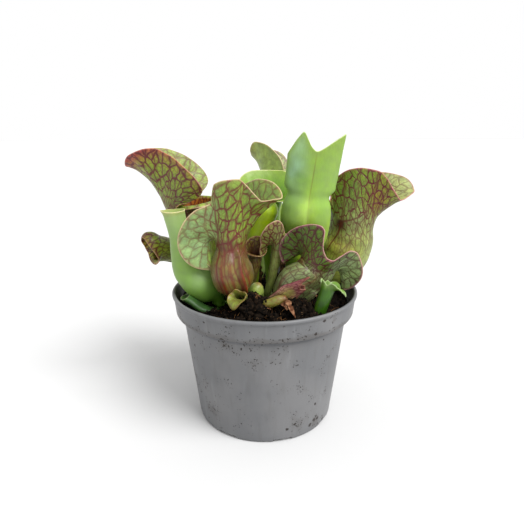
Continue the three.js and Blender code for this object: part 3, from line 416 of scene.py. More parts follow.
# How each leaf and stump is finished. tone is the colour outside, inside the one within, and net the
# strength of the veins, each from the stalk's foot, 0, past the mouth, 1, to the rim, 2. Spots are soft
# patches over them, [angle round the leaf, place, width, height, colour or strength, weight]. strokes are
# main veins, [width, weight, [[angle, place], ...]].
LOOKS = {
    "pitcher_rear_left": dict(
        detail=LARGE, slot="veined_leaf", vein="6c2226", cell=(3.6, 5), flush=0, flush_tone="b4565a",
        margin=0.45, margin_tone="c88478",
        tone=[
            [0, "7d9a4e"], [0.7, "86a052"], [1, "8c9a5a"], [1.3, "8aa64c"], [1.7, "8fab40"], [2, "a0ad3c"],
        ],
        spots=[
            [250, 1, 18, 0.1, "5c2a34", 0.9], [192, 2, 34, 0.16, "c03c50", 1.1],
            [225, 1.9, 24, 0.3, "a4b038", 0.4], [270, 1, 20, 0.06, "5c2a34", 0.7],
            [214, 2, 22, 0.07, "bc5058", 0.9],
        ],
        inside=[
            [0, "8a3a2a"], [0.85, "a8602c"], [1.02, "c8824a"], [1.1, "a88a4c"], [1.3, "84a044"],
            [2, "98ae54"],
        ],
        net=[[0, 0.15], [0.8, 0.35], [1, 0.95], [1.6, 1], [2, 0.95]],
        net_inside=[[0, 0.9], [1.1, 0.8], [1.4, 0.6], [2, 0.55]],
    ),
    "pitcher_front_left": dict(
        detail=LARGE, slot="veined_leaf", net_spots=[[48, 1.7, 28, 0.6, 0.36, 0.9]],
        net_inside=[[0, 0.8], [1.2, 0.6], [2, 0.5]], vein="6e2028", cell=(3.9, 5.2), stripe=8, flush=0.3,
        flush_tone="a0585a", margin=0.42, margin_tone="dcc09c", line=0.108, stripes=0.4,
        tone=[
            [0, "5f7f52"], [0.36, "64804e"], [0.48, "6c6438"], [0.62, "726c3a"], [0.82, "746e40"],
            [0.95, "704e38"], [1.1, "869650"], [1.35, "84a64c"], [1.7, "86a84c"], [2, "8cab5c"],
        ],
        spots=[
            [48, 1.6, 28, 0.6, "a4c8a0", 0.9], [120, 0.7, 45, 0.12, "94785a", 0.4],
            [76, 1.75, 18, 0.35, "88a880", 0.7], [99, 0.66, 5, 0.17, "84141f", 0.95],
            [125, 0.68, 3, 0.16, "841c28", 0.7], [149, 0.66, 4, 0.18, "841822", 0.9],
            [170, 0.68, 4, 0.2, "80242a", 0.8], [80, 0.7, 3, 0.12, "8c3030", 0.5],
            # The narrow pale streaks at 112 and 137 down the belly are painted highlights.
            [112, 0.62, 4, 0.1, "a8a460", 0.6], [137, 0.7, 4, 0.1, "9c9c58", 0.6],
            [205, 1.15, 8, 0.3, "681c20", 0.85], [120, 0.42, 70, 0.07, "6a8464", 0.9],
            [160, 1.5, 24, 0.4, "86aa30", 0.5], [40, 0.97, 13, 0.05, "2c080e", 1.3],
        ],
        inside=[[0, "8a3a2a"], [1, "6a4a2c"], [1.2, "84a64c"], [2, "8fb060"]],
        net=[
            [0, 0.05], [0.4, 0.1], [0.5, 0.35], [0.85, 0.45], [0.97, 0.8], [1.1, 0.95], [1.6, 0.9],
            [2, 0.75],
        ],
        strokes=[
            [0.85, 0.95, [[38, 0.97], [66, 0.98], [90, 1.02], [120, 1.05], [150, 1.14]]],
            [0.8, 0.9, [[120, 1.05], [150, 1.2], [172, 1.3], [178, 1.55], [174, 1.9]]],
            [0.65, 0.85, [[72, 1], [82, 1.3], [84, 1.6], [90, 1.9]]],
            [0.65, 0.8, [[94, 1.04], [108, 1.3], [112, 1.54], [120, 1.9]]],
            [0.6, 0.75, [[128, 1.08], [140, 1.34], [144, 1.6], [146, 1.9]]],
            [0.6, 0.5, [[38, 1.1], [50, 1.4], [58, 1.62], [62, 1.9]]],
            [0.55, 0.45, [[30, 1.1], [40, 1.4], [44, 1.7], [40, 1.92]]],
            [0.6, 0.65, [[44, 1.05], [62, 1.35], [70, 1.65], [74, 1.92]]],
            [0.9, 0.9, [[70, 1], [80, 0.86], [86, 0.7], [90, 0.54]]],
            [0.8, 0.75, [[96, 1], [106, 0.84], [112, 0.68], [116, 0.52]]],
            [0.9, 0.85, [[124, 1.02], [132, 0.86], [140, 0.7], [144, 0.54]]],
            [0.7, 0.75, [[146, 1.04], [156, 0.86], [166, 0.7], [170, 0.54]]],
        ],
    ),
    "pitcher_right": dict(
        detail=LARGE, slot="veined_leaf", vein="5c1014", cell=(3.6, 5), flush=0.25, flush_tone="a35058",
        margin=0.5, margin_tone="cf7c84", line=0.105, halo=0.14,
        tone=[
            [0, "7a9440"], [0.45, "8ea04c"], [0.7, "98a85c"], [0.95, "8a9a5c"], [1.1, "84985a"],
            [1.5, "74923a"], [2, "7a922e"],
        ],
        spots=[
            [60, 0.72, 22, 0.14, "8c8430", 0.6], [96, 0.66, 24, 0.12, "b0aa3c", 0.5],
            [140, 0.75, 22, 0.2, "a8b880", 0.6], [110, 1.05, 26, 0.16, "94a67c", 0.6],
            # The saturated olive patch at 146 high on the hood is painted light shining through the hood.
            [146, 1.58, 26, 0.36, "7e6c0e", 0.95], [205, 1.75, 40, 0.4, "a4b860", 0.6],
            [110, 0.5, 50, 0.1, "94a468", 0.5], [70, 1.6, 26, 0.4, "66883c", 0.5],
            [62, 0.98, 13, 0.045, "1c060c", 1.4],
        ],
        inside=[[0, "7a2c22"], [1, "8a7a2c"], [1.35, "86922c"], [2, "a2ae74"]],
        inside_spots=[[212, 1.85, 34, 0.35, "b0bc8c", 0.8]],
        net=[[0, 0.1], [0.45, 0.3], [0.7, 0.5], [0.95, 0.7], [1.15, 0.9], [2, 0.9]],
        net_inside=[[0, 0.9], [1.3, 0.9], [1.7, 0.6], [2, 0.4]],
        # The strong net at 146 on the hood is the veins standing out in the painted light through the hood.
        net_spots=[[140, 0.72, 30, 0.16, 0.3, 0.8], [146, 1.58, 28, 0.4, 1.2, 1]],
        strokes=[
            [0.9, 0.95, [[62, 0.98], [58, 0.86], [52, 0.72], [46, 0.6]]],
            [0.8, 0.85, [[62, 0.98], [84, 1.03], [106, 1.12], [124, 1.26]]],
            [0.75, 0.7, [[124, 1.16], [106, 0.95], [92, 0.8], [78, 0.64]]],
            [0.6, 0.75, [[154, 1.02], [148, 0.9], [140, 0.78], [132, 0.64]]],
            [0.6, 0.85, [[62, 0.98], [64, 1.2], [68, 1.45], [72, 1.8]]],
            [0.6, 0.8, [[84, 1.03], [84, 1.25], [88, 1.5], [92, 1.75]]],
            [0.65, 0.85, [[124, 1.16], [112, 1.3], [108, 1.5], [112, 1.8]]],
            [0.75, 0.95, [[154, 1.04], [142, 1.2], [134, 1.4], [128, 1.6], [130, 1.85]]],
            [0.7, 0.95, [[134, 1.4], [150, 1.5], [166, 1.62], [176, 1.9]]],
        ],
    ),
    "pitcher_front_right": dict(
        detail=LARGE, slot="veined_leaf", net_spots=[[228, 1.6, 30, 0.6, 0.55, 0.9]], cell=(3.1, 4),
        line=0.125, stripe=6, flush=0.3, flush_tone="a85c78", margin=0.5, margin_tone="cf9a94", halo=0.2,
        tone=[
            [0, "5c7650"], [0.4, "6c8060"], [0.7, "7a8c66"], [0.92, "7c8c62"], [1.12, "567626"],
            [1.5, "507220"], [2, "507222"],
        ],
        spots=[
            [120, 0.7, 20, 0.12, "92a482", 0.6], [146, 1, 14, 0.07, "a08a94", 0.7],
            [150, 0.72, 5, 0.2, "7c2830", 0.6], [100, 0.5, 4, 0.2, "843438", 0.6],
            [205, 0.75, 22, 0.2, "98ac80", 0.6], [226, 1.5, 30, 0.55, "a8c494", 1.2],
            [205, 1.3, 18, 0.3, "90ac8c", 0.9], [60, 1.3, 16, 0.2, "6c8a50", 0.6],
            [160, 1.95, 12, 0.1, "b8707c", 0.8],
        ],
        inside=[[0, "6a2c22"], [1, "5c5a34"], [2, "7a8a58"]],
        net=[[0, 0.1], [0.4, 0.55], [0.7, 0.6], [0.95, 0.75], [1.1, 1], [2, 1]],
        strokes=[
            [0.8, 0.9, [[146, 1], [136, 1.2], [124, 1.35], [106, 1.45], [84, 1.7]]],
            [0.6, 0.9, [[80, 1.1], [66, 1.35], [62, 1.55], [62, 1.85]]],
            [0.6, 0.9, [[126, 1.22], [100, 1.36], [84, 1.5], [70, 1.8]]],
            [0.6, 0.85, [[80, 1.08], [104, 1.06], [126, 1.1], [146, 1.05]]],
            [0.65, 0.7, [[146, 1], [170, 1.05], [196, 1.2], [210, 1.5], [208, 1.8]]],
            [0.6, 0.65, [[196, 1.1], [214, 1.3], [222, 1.6], [226, 1.85]]],
            [0.6, 0.65, [[148, 0.96], [156, 0.86], [166, 0.76], [180, 0.62]]],
            [0.55, 0.6, [[100, 0.84], [96, 0.7], [94, 0.58], [92, 0.4]]],
        ],
    ),
    "pitcher_far_left": dict(
        detail=MEDIUM, slot="veined_leaf", vein="561c1c", cell=(2.6, 3.6), flush=0.2, flush_tone="8a4a3c",
        margin=0.3, margin_tone="c99a82",
        tone=[[0, "7d9a55"], [0.6, "90a868"], [1, "8c9c48"], [1.5, "7c9434"], [2, "9a8a44"]],
        spots=[[185, 2, 30, 0.3, "6a3a26", 0.7]],
        inside=[[0, "5a3a1c"], [1, "7c7c34"], [1.5, "9aa644"], [2, "c0a45c"]],
        net=[[0, 0.1], [0.8, 0.3], [1.2, 0.85], [2, 0.95]],
    ),
    "pitcher_rear_center": dict(
        detail=MEDIUM, slot="young_leaf", net_spots=[[125, 1.6, 32, 0.6, 0.5, 1]], vein="6a2c30",
        cell=(3, 3.8), flush=0.15, flush_tone="b0787a", margin=0.5, margin_tone="e2c3a8",
        net_inside=[[0, 0.4], [2, 0.7]],
        tone=[[0, "8cac60"], [1, "a8c67c"], [1.4, "b4d084"], [2, "b4ce84"]],
        spots=[[120, 1.7, 30, 0.5, "8f9f5c", 0.7], [190, 2, 20, 0.3, "b3a86c", 0.5]],
        net=[[0, 0.05], [1, 0.12], [2, 0.12]],
        inside=[[0, "6a7a40"], [1, "8a9a58"], [2, "94a464"]],
    ),
    "pitcher_rear_green": dict(
        detail=MEDIUM, mottle=0.25, slot="young_leaf", net=[[0, 0], [2, 0.1]], vein="6a7a38",
        cell=(2.6, 4.6), flush=0, margin=0.5, margin_tone="dfd0a0", relief=0.1,
        tone=[[0, "7a9c40"], [1, "82b03a"], [1.5, "94bc44"], [2, "a2c254"]],
        spots=[[180, 1.3, 50, 0.25, "5f8a30", 0.6]],
        inside=[[0, "4a6a20"], [1, "659438"], [1.6, "82b048"], [2, "9aba60"]],
    ),
    "young_pitcher_center": dict(
        detail=LARGE, mottle=0.25, slot="young_leaf", net=[[0, 0], [0.5, 0.04], [2, 0.08]], vein="7c8a40",
        cell=(2, 9), line=0.16, fine=0.6, flush=0, margin=0.55, margin_tone="c8cf9a", relief=0.08, wave=0.15,
        roughness=0.46, crest=0.35,
        tone=[
            [0, "7aa43c"], [0.3, "8ab845"], [0.5, "a4cf64"], [0.64, "acd46c"], [0.8, "98c468"],
            [1.05, "92bc6c"], [1.6, "90b862"], [2, "98ba60"],
        ],
        # Several of these spots are painted light: a lighter yellow-green patch and a painted highlight on
        # the bulge, and painted shade at the bulge's left, along the crease at the waist and on the left
        # above the mouth.
        spots=[
            [0, 0.55, 22, 0.3, "b0cc3c", 0.5], [0, 1.2, 16, 0.6, "a0c648", 0.5],
            [312, 1.3, 26, 0.45, "9cc8b0", 1], [46, 1.35, 28, 0.5, "a4c470", 0.5],
            [336, 1, 20, 0.07, "7fac54", 0.6], [0, 1.3, 1.2, 0.5, "76602c", 0.7],
            [0, 0.8, 1.2, 0.2, "8f9040", 0.4], [318, 0.74, 22, 0.14, "84a840", 0.6],
            [352, 0.78, 16, 0.08, "ccf490", 0.6], [10, 0.6, 16, 0.08, "b8dc30", 0.6],
            [330, 0.9, 24, 0.02, "7ca454", 0.5], [36, 0.7, 20, 0.16, "8cb84c", 0.4],
            [330, 1.1, 14, 0.08, "74a45c", 0.6], [314, 1.75, 22, 0.2, "a8d0b0", 0.6],
        ],
        inside=[[0, "6f9a3c"], [1, "86b050"], [2, "a0bb6c"]],
    ),
    "young_pitcher_left": dict(
        detail=MEDIUM, mottle=0.25, slot="young_leaf", net=[[0, 0], [2, 0.05]], vein="6f8a50", cell=(1.8, 9),
        flush=0, margin=0.8, margin_tone="cfc493", relief=0.07, wave=0.1, roughness=0.46,
        tone=[
            [0, "5a8c3a"], [0.3, "66983e"], [0.42, "80ae56"], [0.6, "8cb666"], [0.8, "94ba72"],
            [0.92, "a2c48c"], [1, "a8c68e"], [2, "bcc690"],
        ],
        spots=[[300, 0.5, 40, 0.08, "a4c69a", 0.6], [180, 0.8, 50, 0.3, "8fae80", 0.5]],
        inside=[[0, "5c7a3a"], [1, "86a05c"], [2, "b3bd8c"]],
    ),
    "young_pitcher_lime": dict(
        detail=SMALL, mottle=0.25, slot="lime_leaf", net=[[0, 0], [1, 0.12], [2, 0.12]], vein="6a8030",
        cell=(1.4, 8), flush=0, margin=0.3, relief=0.07, wave=0.15,
        tone=[[0, "7a9a2c"], [0.6, "90ae30"], [0.9, "a6c632"], [1.2, "b2d436"], [2, "9aba38"]],
        spots=[[180, 1, 40, 0.3, "a8c430", 0.5], [0, 2, 60, 0.3, "7f9a30", 0.4]],
    ),
    "pitcher_center_folded": dict(
        detail=SMALL, slot="veined_leaf", vein="5c1c20", cell=(2.4, 3), line=0.16, flush=0.25,
        flush_tone="9a5a58", margin=0.45, margin_tone="dcb89c",
        tone=[[0, "7a9452"], [0.8, "7f8f58"], [1.2, "748446"], [2, "8a965c"]],
        spots=[[88, 2, 30, 0.3, "9a8a5c", 0.5]],
        inside=[[0, "2c1a14"], [1, "3a2a1a"], [1.5, "5a5a30"], [2, "7a7a48"]],
        net=[[0, 0.1], [0.9, 0.4], [1.2, 0.9], [2, 0.9]],
    ),
    "pitcher_center_small": dict(
        detail=SMALL, slot="veined_leaf", vein="501c18", cell=(2, 2.6), flush=0.25, flush_tone="8a5038",
        margin=0.25, margin_tone="b99a70",
        tone=[[0, "6a7f4a"], [0.8, "70683c"], [1.3, "7a7834"], [2, "8a8440"]],
        inside=[[0, "20140e"], [1, "3a2418"], [1.5, "6a5a2a"], [2, "8a8440"]],
        net=[[0, 0.2], [0.9, 0.8], [2, 0.95]],
    ),
    "leaf_low_left": dict(
        detail=SMALL, slot="dark_leaf", net=[[0, 0], [2, 0.05]], flush=0, margin=0.1, relief=0.1, wave=0.2,
        tone=[[0, "3c5c34"], [0.5, "40683c"], [1, "466e40"], [2, "4c7444"]],
        inside=[[0, "1c2c18"], [1, "2c4424"], [2, "48683c"]],
    ),
    "leaf_stub_right": dict(
        detail=MEDIUM, slot="bright_leaf", net=[[0, 0], [2, 0.1]], vein="4a7a34", flush=0, margin=0.3,
        margin_tone="c9d2ac", relief=0.35, wave=0.5, wave_length=2.2,
        tone=[
            [0, "1c3c0c"], [0.5, "264c10"], [0.85, "305814"], [1, "3e6820"], [1.4, "5c8434"], [2, "86a468"],
        ],
        spots=[
            [60, 0.9, 30, 0.2, "3c6428", 0.6], [280, 0.7, 40, 0.4, "1c400c", 0.5],
            [90, 0.7, 8, 0.3, "5c7c24", 0.5],
        ],
        inside=[[0, "2c4a1c"], [1, "4a7a2a"], [2, "84a85c"]],
    ),
    "leaf_withered": dict(
        detail=SMALL, slot="withered_leaf", vein="641c30", cell=(1.7, 2.4), line=0.14, flush=0.2,
        flush_tone="6a4a34", margin=0.2, margin_tone="c08a70", relief=0.3, wave=0.5, wave_length=2.5,
        roughness=0.62, net_spots=[[350, 0.9, 30, 0.3, 0.15, 0.9]],
        tone=[
            [0, "7a7a4a"], [0.4, "8a8450"], [0.7, "8c8a54"], [1, "987268"], [1.5, "9c6870"], [2, "8e5a54"],
        ],
        spots=[
            [270, 1.2, 34, 0.5, "80345a", 0.9], [300, 0.72, 20, 0.14, "c0a49c", 0.8],
            [350, 0.9, 30, 0.3, "90924c", 0.8], [270, 1.9, 40, 0.16, "9c5c4a", 0.6],
        ],
        net=[[0, 0.2], [0.6, 0.5], [1, 0.9], [2, 1]],
        inside=[[0, "3a2a1c"], [1, "5a3a30"], [2, "8a5a4c"]],
    ),
    "leaf_ragged_front": dict(
        detail=SMALL, slot="lime_leaf", net=[[0, 0.1], [1, 0.35], [2, 0.4]], vein="6a3a30", cell=(1.6, 2.6),
        flush=0.25, flush_tone="8a5a3c", margin=0.3, margin_tone="7a4a30", wave_length=2.2,
        tone=[[0, "5f7a34"], [0.6, "6c8a3c"], [1, "7c9a48"], [2, "8a9850"]],
        spots=[[90, 1.5, 40, 0.5, "6a7a58", 0.5]],
        inside=[[0, "3a3020"], [1, "627038"], [2, "94a448"]],
    ),
    "stump_center": dict(
        slot="young_leaf", net=[[0, 0], [1, 0.1]], vein="6a7a40", cell=(1.4, 6),
        tone=[[0, "6a8040"], [0.4, "8fae5a"], [0.8, "a4bd6c"], [0.94, "a8b874"], [1, "a08a5c"]],
    ),
    "stump_rear": dict(
        slot="withered_leaf", net=[[0, 0.3], [1, 0.4]], vein="5a3c28", cell=(1.4, 5), roughness=0.7,
        tone=[[0, "5a4a2c"], [0.6, "8a7a4c"], [0.9, "7a6a44"], [1, "4a3828"]],
    ),
    "stump_yellow": dict(
        slot="lime_leaf", net=[[0, 0.3], [1, 0.35]], vein="8a4a30", cell=(1.6, 3), flush=0,
        tone=[
            [0, "6a3c28"], [0.35, "8a5a2c"], [0.5, "a0702c"], [0.62, "8c8a48"], [0.9, "848a4c"],
            [1, "6a4a30"],
        ],
        spots=[[90, 0.55, 60, 0.08, "8a4a2c", 0.6]],
    ),
}


def smooth_curve(pairs, period=0.0):
    """A monotone cubic through [x, value] pairs; period makes it a loop."""
    pairs = [(float(x), float(y)) for x, y in pairs]
    if period:
        ahead = [(x + period, y) for x, y in pairs[:2]]
        pairs = [(x - period, y) for x, y in pairs[-2:]] + pairs + ahead
    xs, ys = np.array(pairs).T
    chords = np.diff(ys) / np.diff(xs)
    product = chords[:-1] * chords[1:]
    total = np.where(product > 0, chords[:-1] + chords[1:], 1)
    slopes = np.concatenate([chords[:1], np.where(product > 0, 2 * product / total, 0), chords[-1:]])

    def at(x):
        x = np.asarray(x, float)
        if period:
            x = np.mod(x, period)
        x = np.clip(x, xs[0], xs[-1])
        i = np.clip(np.searchsorted(xs, x, side="left") - 1, 0, len(xs) - 2)
        width = xs[i + 1] - xs[i]
        t = (x - xs[i]) / width
        back = 1 - t
        rising = ys[i] * (1 + 2 * t) * back * back + slopes[i] * width * t * back * back
        return rising + ys[i + 1] * t * t * (3 - 2 * t) - slopes[i + 1] * width * t * t * back

    return at


def smooth_step(t):
    t = np.clip(t, 0, 1)
    return t * t * (3 - 2 * t)


def unit(v):
    return v / np.maximum(np.linalg.norm(v, axis=-1, keepdims=True), 1e-12)


def bell(x):
    return np.exp(-(x**2))


def from_angle(degrees, middle):
    """How far angles lie from a middle one, from -180 to 180."""
    return (degrees - middle + 540) % 360 - 180


def level_ray(turn):
    """The level direction at an angle in radians."""
    return np.array([math.cos(turn), math.sin(turn), 0.0])


def circle(count):
    """Points [count, 2] round a circle of radius 1."""
    turn = np.arange(count) / count * 2 * math.pi
    return np.stack([np.cos(turn), np.sin(turn)], axis=-1)


def raised(flat, height):
    """Points [count, 2] at one height."""
    return np.concatenate([flat, np.full((len(flat), 1), height)], axis=1)


def noise(points, seed):
    """Smooth value noise from -1 to 1 at points [..., 3]."""
    cell = np.floor(points)
    w = smooth_step(points - cell)
    total = 0
    for corner in range(8):
        step = np.array([corner & 1, corner >> 1 & 1, corner >> 2])
        at = cell + step
        mixed = np.sin(at @ np.array([127.1, 311.7, 74.7]) + seed * 17.3) * 43758.5453
        weight = np.prod(np.where(step, w, 1 - w), axis=-1)
        total = total + weight * (2 * (mixed - np.floor(mixed)) - 1)
    return total


class Path:
    """A centripetal Catmull-Rom curve, read by arc length from 0 to 1."""

    def __init__(self, points):
        p = np.array(points, float)
        self.points = np.vstack([2 * p[0] - p[1], p, 2 * p[-1] - p[-2]])
        self.places = np.linspace(0, 1, 801)
        steps = np.linalg.norm(np.diff(self.raw(self.places), axis=0), axis=1)
        self.length = np.concatenate([[0], np.cumsum(steps)])

    def raw(self, t):
        spans = len(self.points) - 3
        x = np.clip(np.asarray(t, float), 0, 1) * spans
        i = np.minimum(np.floor(x).astype(int), spans - 1)
        w = (x - i)[:, None]
        x0, x1, x2, x3 = (self.points[i + k] for k in range(4))
        pairs = ((x0, x1), (x1, x2), (x2, x3))
        d0, d1, d2 = (np.sqrt(np.linalg.norm(b - a, axis=1))[:, None] for a, b in pairs)
        t1 = ((x1 - x0) / d0 - (x2 - x0) / (d0 + d1) + (x2 - x1) / d1) * d1
        t2 = ((x2 - x1) / d1 - (x3 - x1) / (d1 + d2) + (x3 - x2) / d2) * d1
        return x1 + t1 * w + (3 * (x2 - x1) - 2 * t1 - t2) * w**2 + (2 * (x1 - x2) + t1 + t2) * w**3

    def frames(self, s):
        """Points and directions at places s."""
        t = np.interp(np.asarray(s, float) * self.length[-1], self.length, self.places)
        return self.raw(t), unit(self.raw(t + 1e-4) - self.raw(t - 1e-4))


def rhizome_point(azimuth, elevation, out):
    """A point so far out from the rhizome's skin, in a direction from its middle."""
    e = math.radians(elevation)
    ray = level_ray(math.radians(azimuth)) * math.cos(e) + [0, 0, math.sin(e)]
    return RHIZOME_CENTRE + ray * RHIZOME_RADII + unit(ray / RHIZOME_RADII) * out


def grown_path(table):
    """The middle line of a leaf or stump, from the rhizome on."""
    return Path([rhizome_point(*table["crown"], out) for out in (GAP, STRAIGHT)] + table["spine"])


class Leaf:
    """The outer surface of a leaf: tube() below its mouth and hood() above it, by angle from its front."""

    def __init__(self, leaf):
        self.path = grown_path(leaf)
        self.side = np.cross(level_ray(math.radians(leaf["back"])), [0, 0, 1])
        self.width, self.depth = (smooth_curve([(g[0], g[k]) for g in leaf["girth"]]) for k in (1, 2))
        self.rim = [smooth_curve([(r[0], r[k]) for r in leaf["rim"]], 360) for k in (1, 2, 3, 4)]

    def tube(self, theta, s):
        s = np.asarray(s, float)
        at, along = self.path.frames(s)
        across = unit(self.side - along * (along @ self.side)[:, None])
        front = np.cross(across, along)
        deep = self.depth(s)[:, None, None] * np.cos(theta)[None, :, None]
        wide = self.width(s)[:, None, None] * np.sin(theta)[None, :, None]
        return at[:, None] + front[:, None] * deep + across[:, None] * wide

    def hood(self, theta, t):
        along = self.path.frames([1.0])[1][0]
        across = unit(self.side - along * (along @ self.side))
        front = np.cross(across, along)
        last = (1 - FLARE_FROM) * self.path.length[-1]
        wider = (self.width(1) - self.width(FLARE_FROM)) / last
        deeper = (self.depth(1) - self.depth(FLARE_FROM)) / last
        flare = front * (deeper * np.cos(theta))[:, None] + across * (wider * np.sin(theta))[:, None]
        grow = unit(along + flare)
        near = 0.01
        around = unit(self.tube(theta + near, [1.0])[0] - self.tube(theta - near, [1.0])[0])
        out = unit(np.cross(around, grow))
        length, slant, lean, curl = (value(np.degrees(theta)) for value in self.rim)
        turn = np.radians(np.where(np.sin(theta) > 0, -slant, slant))
        step = (length / RAY_STEPS)[:, None]
        points = [self.tube(theta, [1.0])[0]]
        for i in range(1, RAY_STEPS + 1):
            u = (i - 0.5) / RAY_STEPS
            eased = float(smooth_step(u / 0.3))
            turned = turn * eased
            bent = np.radians(lean * eased + curl * u * u)
            ahead = grow * (np.cos(bent) * np.cos(turned))[:, None]
            sideways = around * (np.cos(bent) * np.sin(turned))[:, None]
            points.append(points[-1] + step * (ahead + sideways + out * np.sin(bent)[:, None]))
        points = np.array(points)
        x = np.asarray(t, float) * RAY_STEPS
        i = np.minimum(RAY_STEPS - 1, np.floor(x).astype(int))
        w = (x - i)[:, None, None]
        return points[i] * (1 - w) + points[i + 1] * w


def ray_angles(leaf, wing_angle, count):
    """Angles round the mouth, closer together where the rim is long and along the wing."""
    fine = np.linspace(0, 2 * math.pi, 720 + 1)
    rim = leaf.hood(fine, [1.0])[0]
    steps = np.linalg.norm(np.diff(rim, axis=0), axis=1)
    middle = np.degrees((fine[1:] + fine[:-1]) / 2)
    near_wing = bell(from_angle(middle, wing_angle) / 8)
    share = 0.6 * steps / steps.sum() + 0.4 / len(steps) + 0.0012 * near_wing
    total = np.concatenate([[0], np.cumsum(share)])
    return np.interp(np.arange(count) / count * total[-1], total, fine)


def rgb(code):
    """Linear red, green and blue of a six-digit sRGB code."""
    values = np.array([int(code[i : i + 2], 16) / 255 for i in (0, 2, 4)])
    return np.where(values <= 0.04045, values / 12.92, ((values + 0.055) / 1.055) ** 2.4)


def grid_normals(grid):
    """Outward normals of a closed grid [ring, ray, 3]."""
    around = np.roll(grid, -1, axis=1) - np.roll(grid, 1, axis=1)
    rows = np.arange(len(grid))
    along = grid[np.minimum(rows + 1, len(grid) - 1)] - grid[np.maximum(rows - 1, 0)]
    return unit(np.cross(around, along))


def ring_faces(rings, count):
    """Quads that join ring after ring, and each corner's ray number, where the last ray is count."""
    j = np.arange(count)
    k = (j + 1) % count
    quads = np.stack([j, k, k + count, j + count], axis=1)
    faces = quads + np.arange(rings - 1)[:, None, None] * count
    return faces.reshape(-1, 4), np.tile(np.stack([j, j + 1, j + 1, j], axis=1), (rings - 1, 1))


def closed_rings(grids):
    """One list of points and faces from several grids of rings, each closed at both ends."""
    faces = []
    start = 0
    for grid in grids:
        rings, count = grid.shape[:2]
        cap = start + np.arange(count)
        faces += (start + ring_faces(rings, count)[0]).tolist()
        faces += [cap[::-1].tolist(), (cap + (rings - 1) * count).tolist()]
        start += rings * count
    return np.concatenate([grid.reshape(-1, 3) for grid in grids]), faces


def new_mesh(name, points, faces, uvs=(), floats=None, colours=None):
    """A smooth mesh, with a map of the veins and values or colours for each point where they are given."""
    mesh = bpy.data.meshes.new(name)
    mesh.from_pydata((np.asarray(points) * MM).tolist(), [], faces)
    if len(uvs):
        layer = mesh.uv_layers.new(name="veins")
        layer.data.foreach_set("uv", np.asarray(uvs, np.float32).ravel())
    for key, values in (floats or {}).items():
        add_floats(mesh, key, values)
    for key, values in (colours or {}).items():
        attribute = mesh.attributes.new(key, "FLOAT_COLOR", "POINT")
        full = np.concatenate([values, np.ones((len(values), 1))], axis=1)
        attribute.data.foreach_set("color", full.astype(np.float32).ravel())
    mesh.polygons.foreach_set("use_smooth", [True] * len(mesh.polygons))
    mesh.update()
    return mesh


def add_floats(mesh, key, values):
    attribute = mesh.attributes.new(key, "FLOAT", "POINT")
    attribute.data.foreach_set("value", np.asarray(values, np.float32).ravel())


def new_object(name, data):
    thing = bpy.data.objects.new(name, data)
    bpy.context.scene.collection.objects.link(thing)
    return thing


def add_piece(name, mesh, material, node=None):
    """A piece of the part, which takes a node's place where one is named."""
    piece = new_object(name, mesh)
    mesh.materials.append(material)
    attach(piece, "root")
    if node:
        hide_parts(node)
    return piece


def ring_piece(name, grids, material, node=None):
    """A piece of closed grids of rings."""
    add_piece(name, new_mesh(node or name, *closed_rings(grids)), material, node)


class Nodes:
    """A material's node tree, with short calls for its common nodes."""

    def __init__(self, name, roughness, specular=0.4):
        self.material = bpy.data.materials.new(name)
        self.material.use_nodes = True
        self.tree = self.material.node_tree
        self.shader = self.tree.nodes["Principled BSDF"]
        self.fill(self.shader, {"Roughness": roughness, "Specular IOR Level": specular})

    def fill(self, node, inputs):
        """Gives a node's inputs plain values or the outputs of other nodes."""
        for key, value in inputs.items():
            if isinstance(value, bpy.types.NodeSocket):
                self.tree.links.new(value, node.inputs[key])
            else:
                node.inputs[key].default_value = value

    def add(self, kind, inputs=None, output=0, **settings):
        node = self.tree.nodes.new(kind)
        for key, value in settings.items():
            setattr(node, key, value)
        self.fill(node, inputs or {})
        return node.outputs[output]

    def position(self):
        return self.add("ShaderNodeTexCoord", output=3)

    def attribute(self, name, output=0):
        return self.add("ShaderNodeAttribute", attribute_name=name, output=output)

    def math(self, operation, a, b=0.0):
        return self.add("ShaderNodeMath", {0: a, 1: b}, operation=operation)

    def plus(self, a, b):
        return self.math("ADD", a, b)

    def times(self, a, b):
        return self.math("MULTIPLY", a, b)

    def most(self, a, b):
        return self.math("MAXIMUM", a, b)

    def vector(self, operation, a, b, output=0):
        return self.add("ShaderNodeVectorMath", {0: a, 1: b}, output, operation=operation)

    def mix(self, factor, a, b):
        a = (*a, 1) if isinstance(a, np.ndarray) else a
        b = (*b, 1) if isinstance(b, np.ndarray) else b
        return self.add("ShaderNodeMix", {0: factor, 6: a, 7: b}, output=2, data_type="RGBA")

    def tint(self, colour, where, weight, tone):
        """A colour turned towards a tone by a weight, where a field is 1."""
        return self.mix(self.times(where, weight), colour, tone)

    def fall(self, value, full, none):
        """1 where the value is under full, 0 where it is over none."""
        inputs = {"Value": value, "From Min": full, "From Max": none, "To Min": 1.0, "To Max": 0.0}
        return self.add("ShaderNodeMapRange", inputs, interpolation_type="SMOOTHSTEP")

    def rise(self, value, none, full):
        """0 where the value is under none, 1 where it is over full."""
        inputs = {"Value": value, "From Min": none, "From Max": full}
        return self.add("ShaderNodeMapRange", inputs, interpolation_type="SMOOTHSTEP")

    def noise(self, coordinates, scale, detail, output=0):
        inputs = {"Vector": coordinates, "Scale": scale, "Detail": detail}
        return self.add("ShaderNodeTexNoise", inputs, output)

    def clouds(self, coordinates, scale, detail, none, full):
        return self.rise(self.noise(coordinates, scale, detail), none, full)

    def warped(self, coordinates, scale, reach):
        """Coordinates pushed about by noise, by up to half of reach."""
        push = self.vector("SUBTRACT", self.noise(coordinates, scale, 2.0, output=1), (0.5, 0.5, 0.5))
        return self.vector("ADD", coordinates, self.vector("MULTIPLY", push, reach))

    def finish(self, colour, height, distance, strength):
        """Paints and embosses the shader, and returns the material."""
        bump = {"Height": height, "Distance": distance * MM, "Strength": strength}
        self.fill(self.shader, {"Base Color": colour, "Normal": self.add("ShaderNodeBump", bump)})
        return self.material


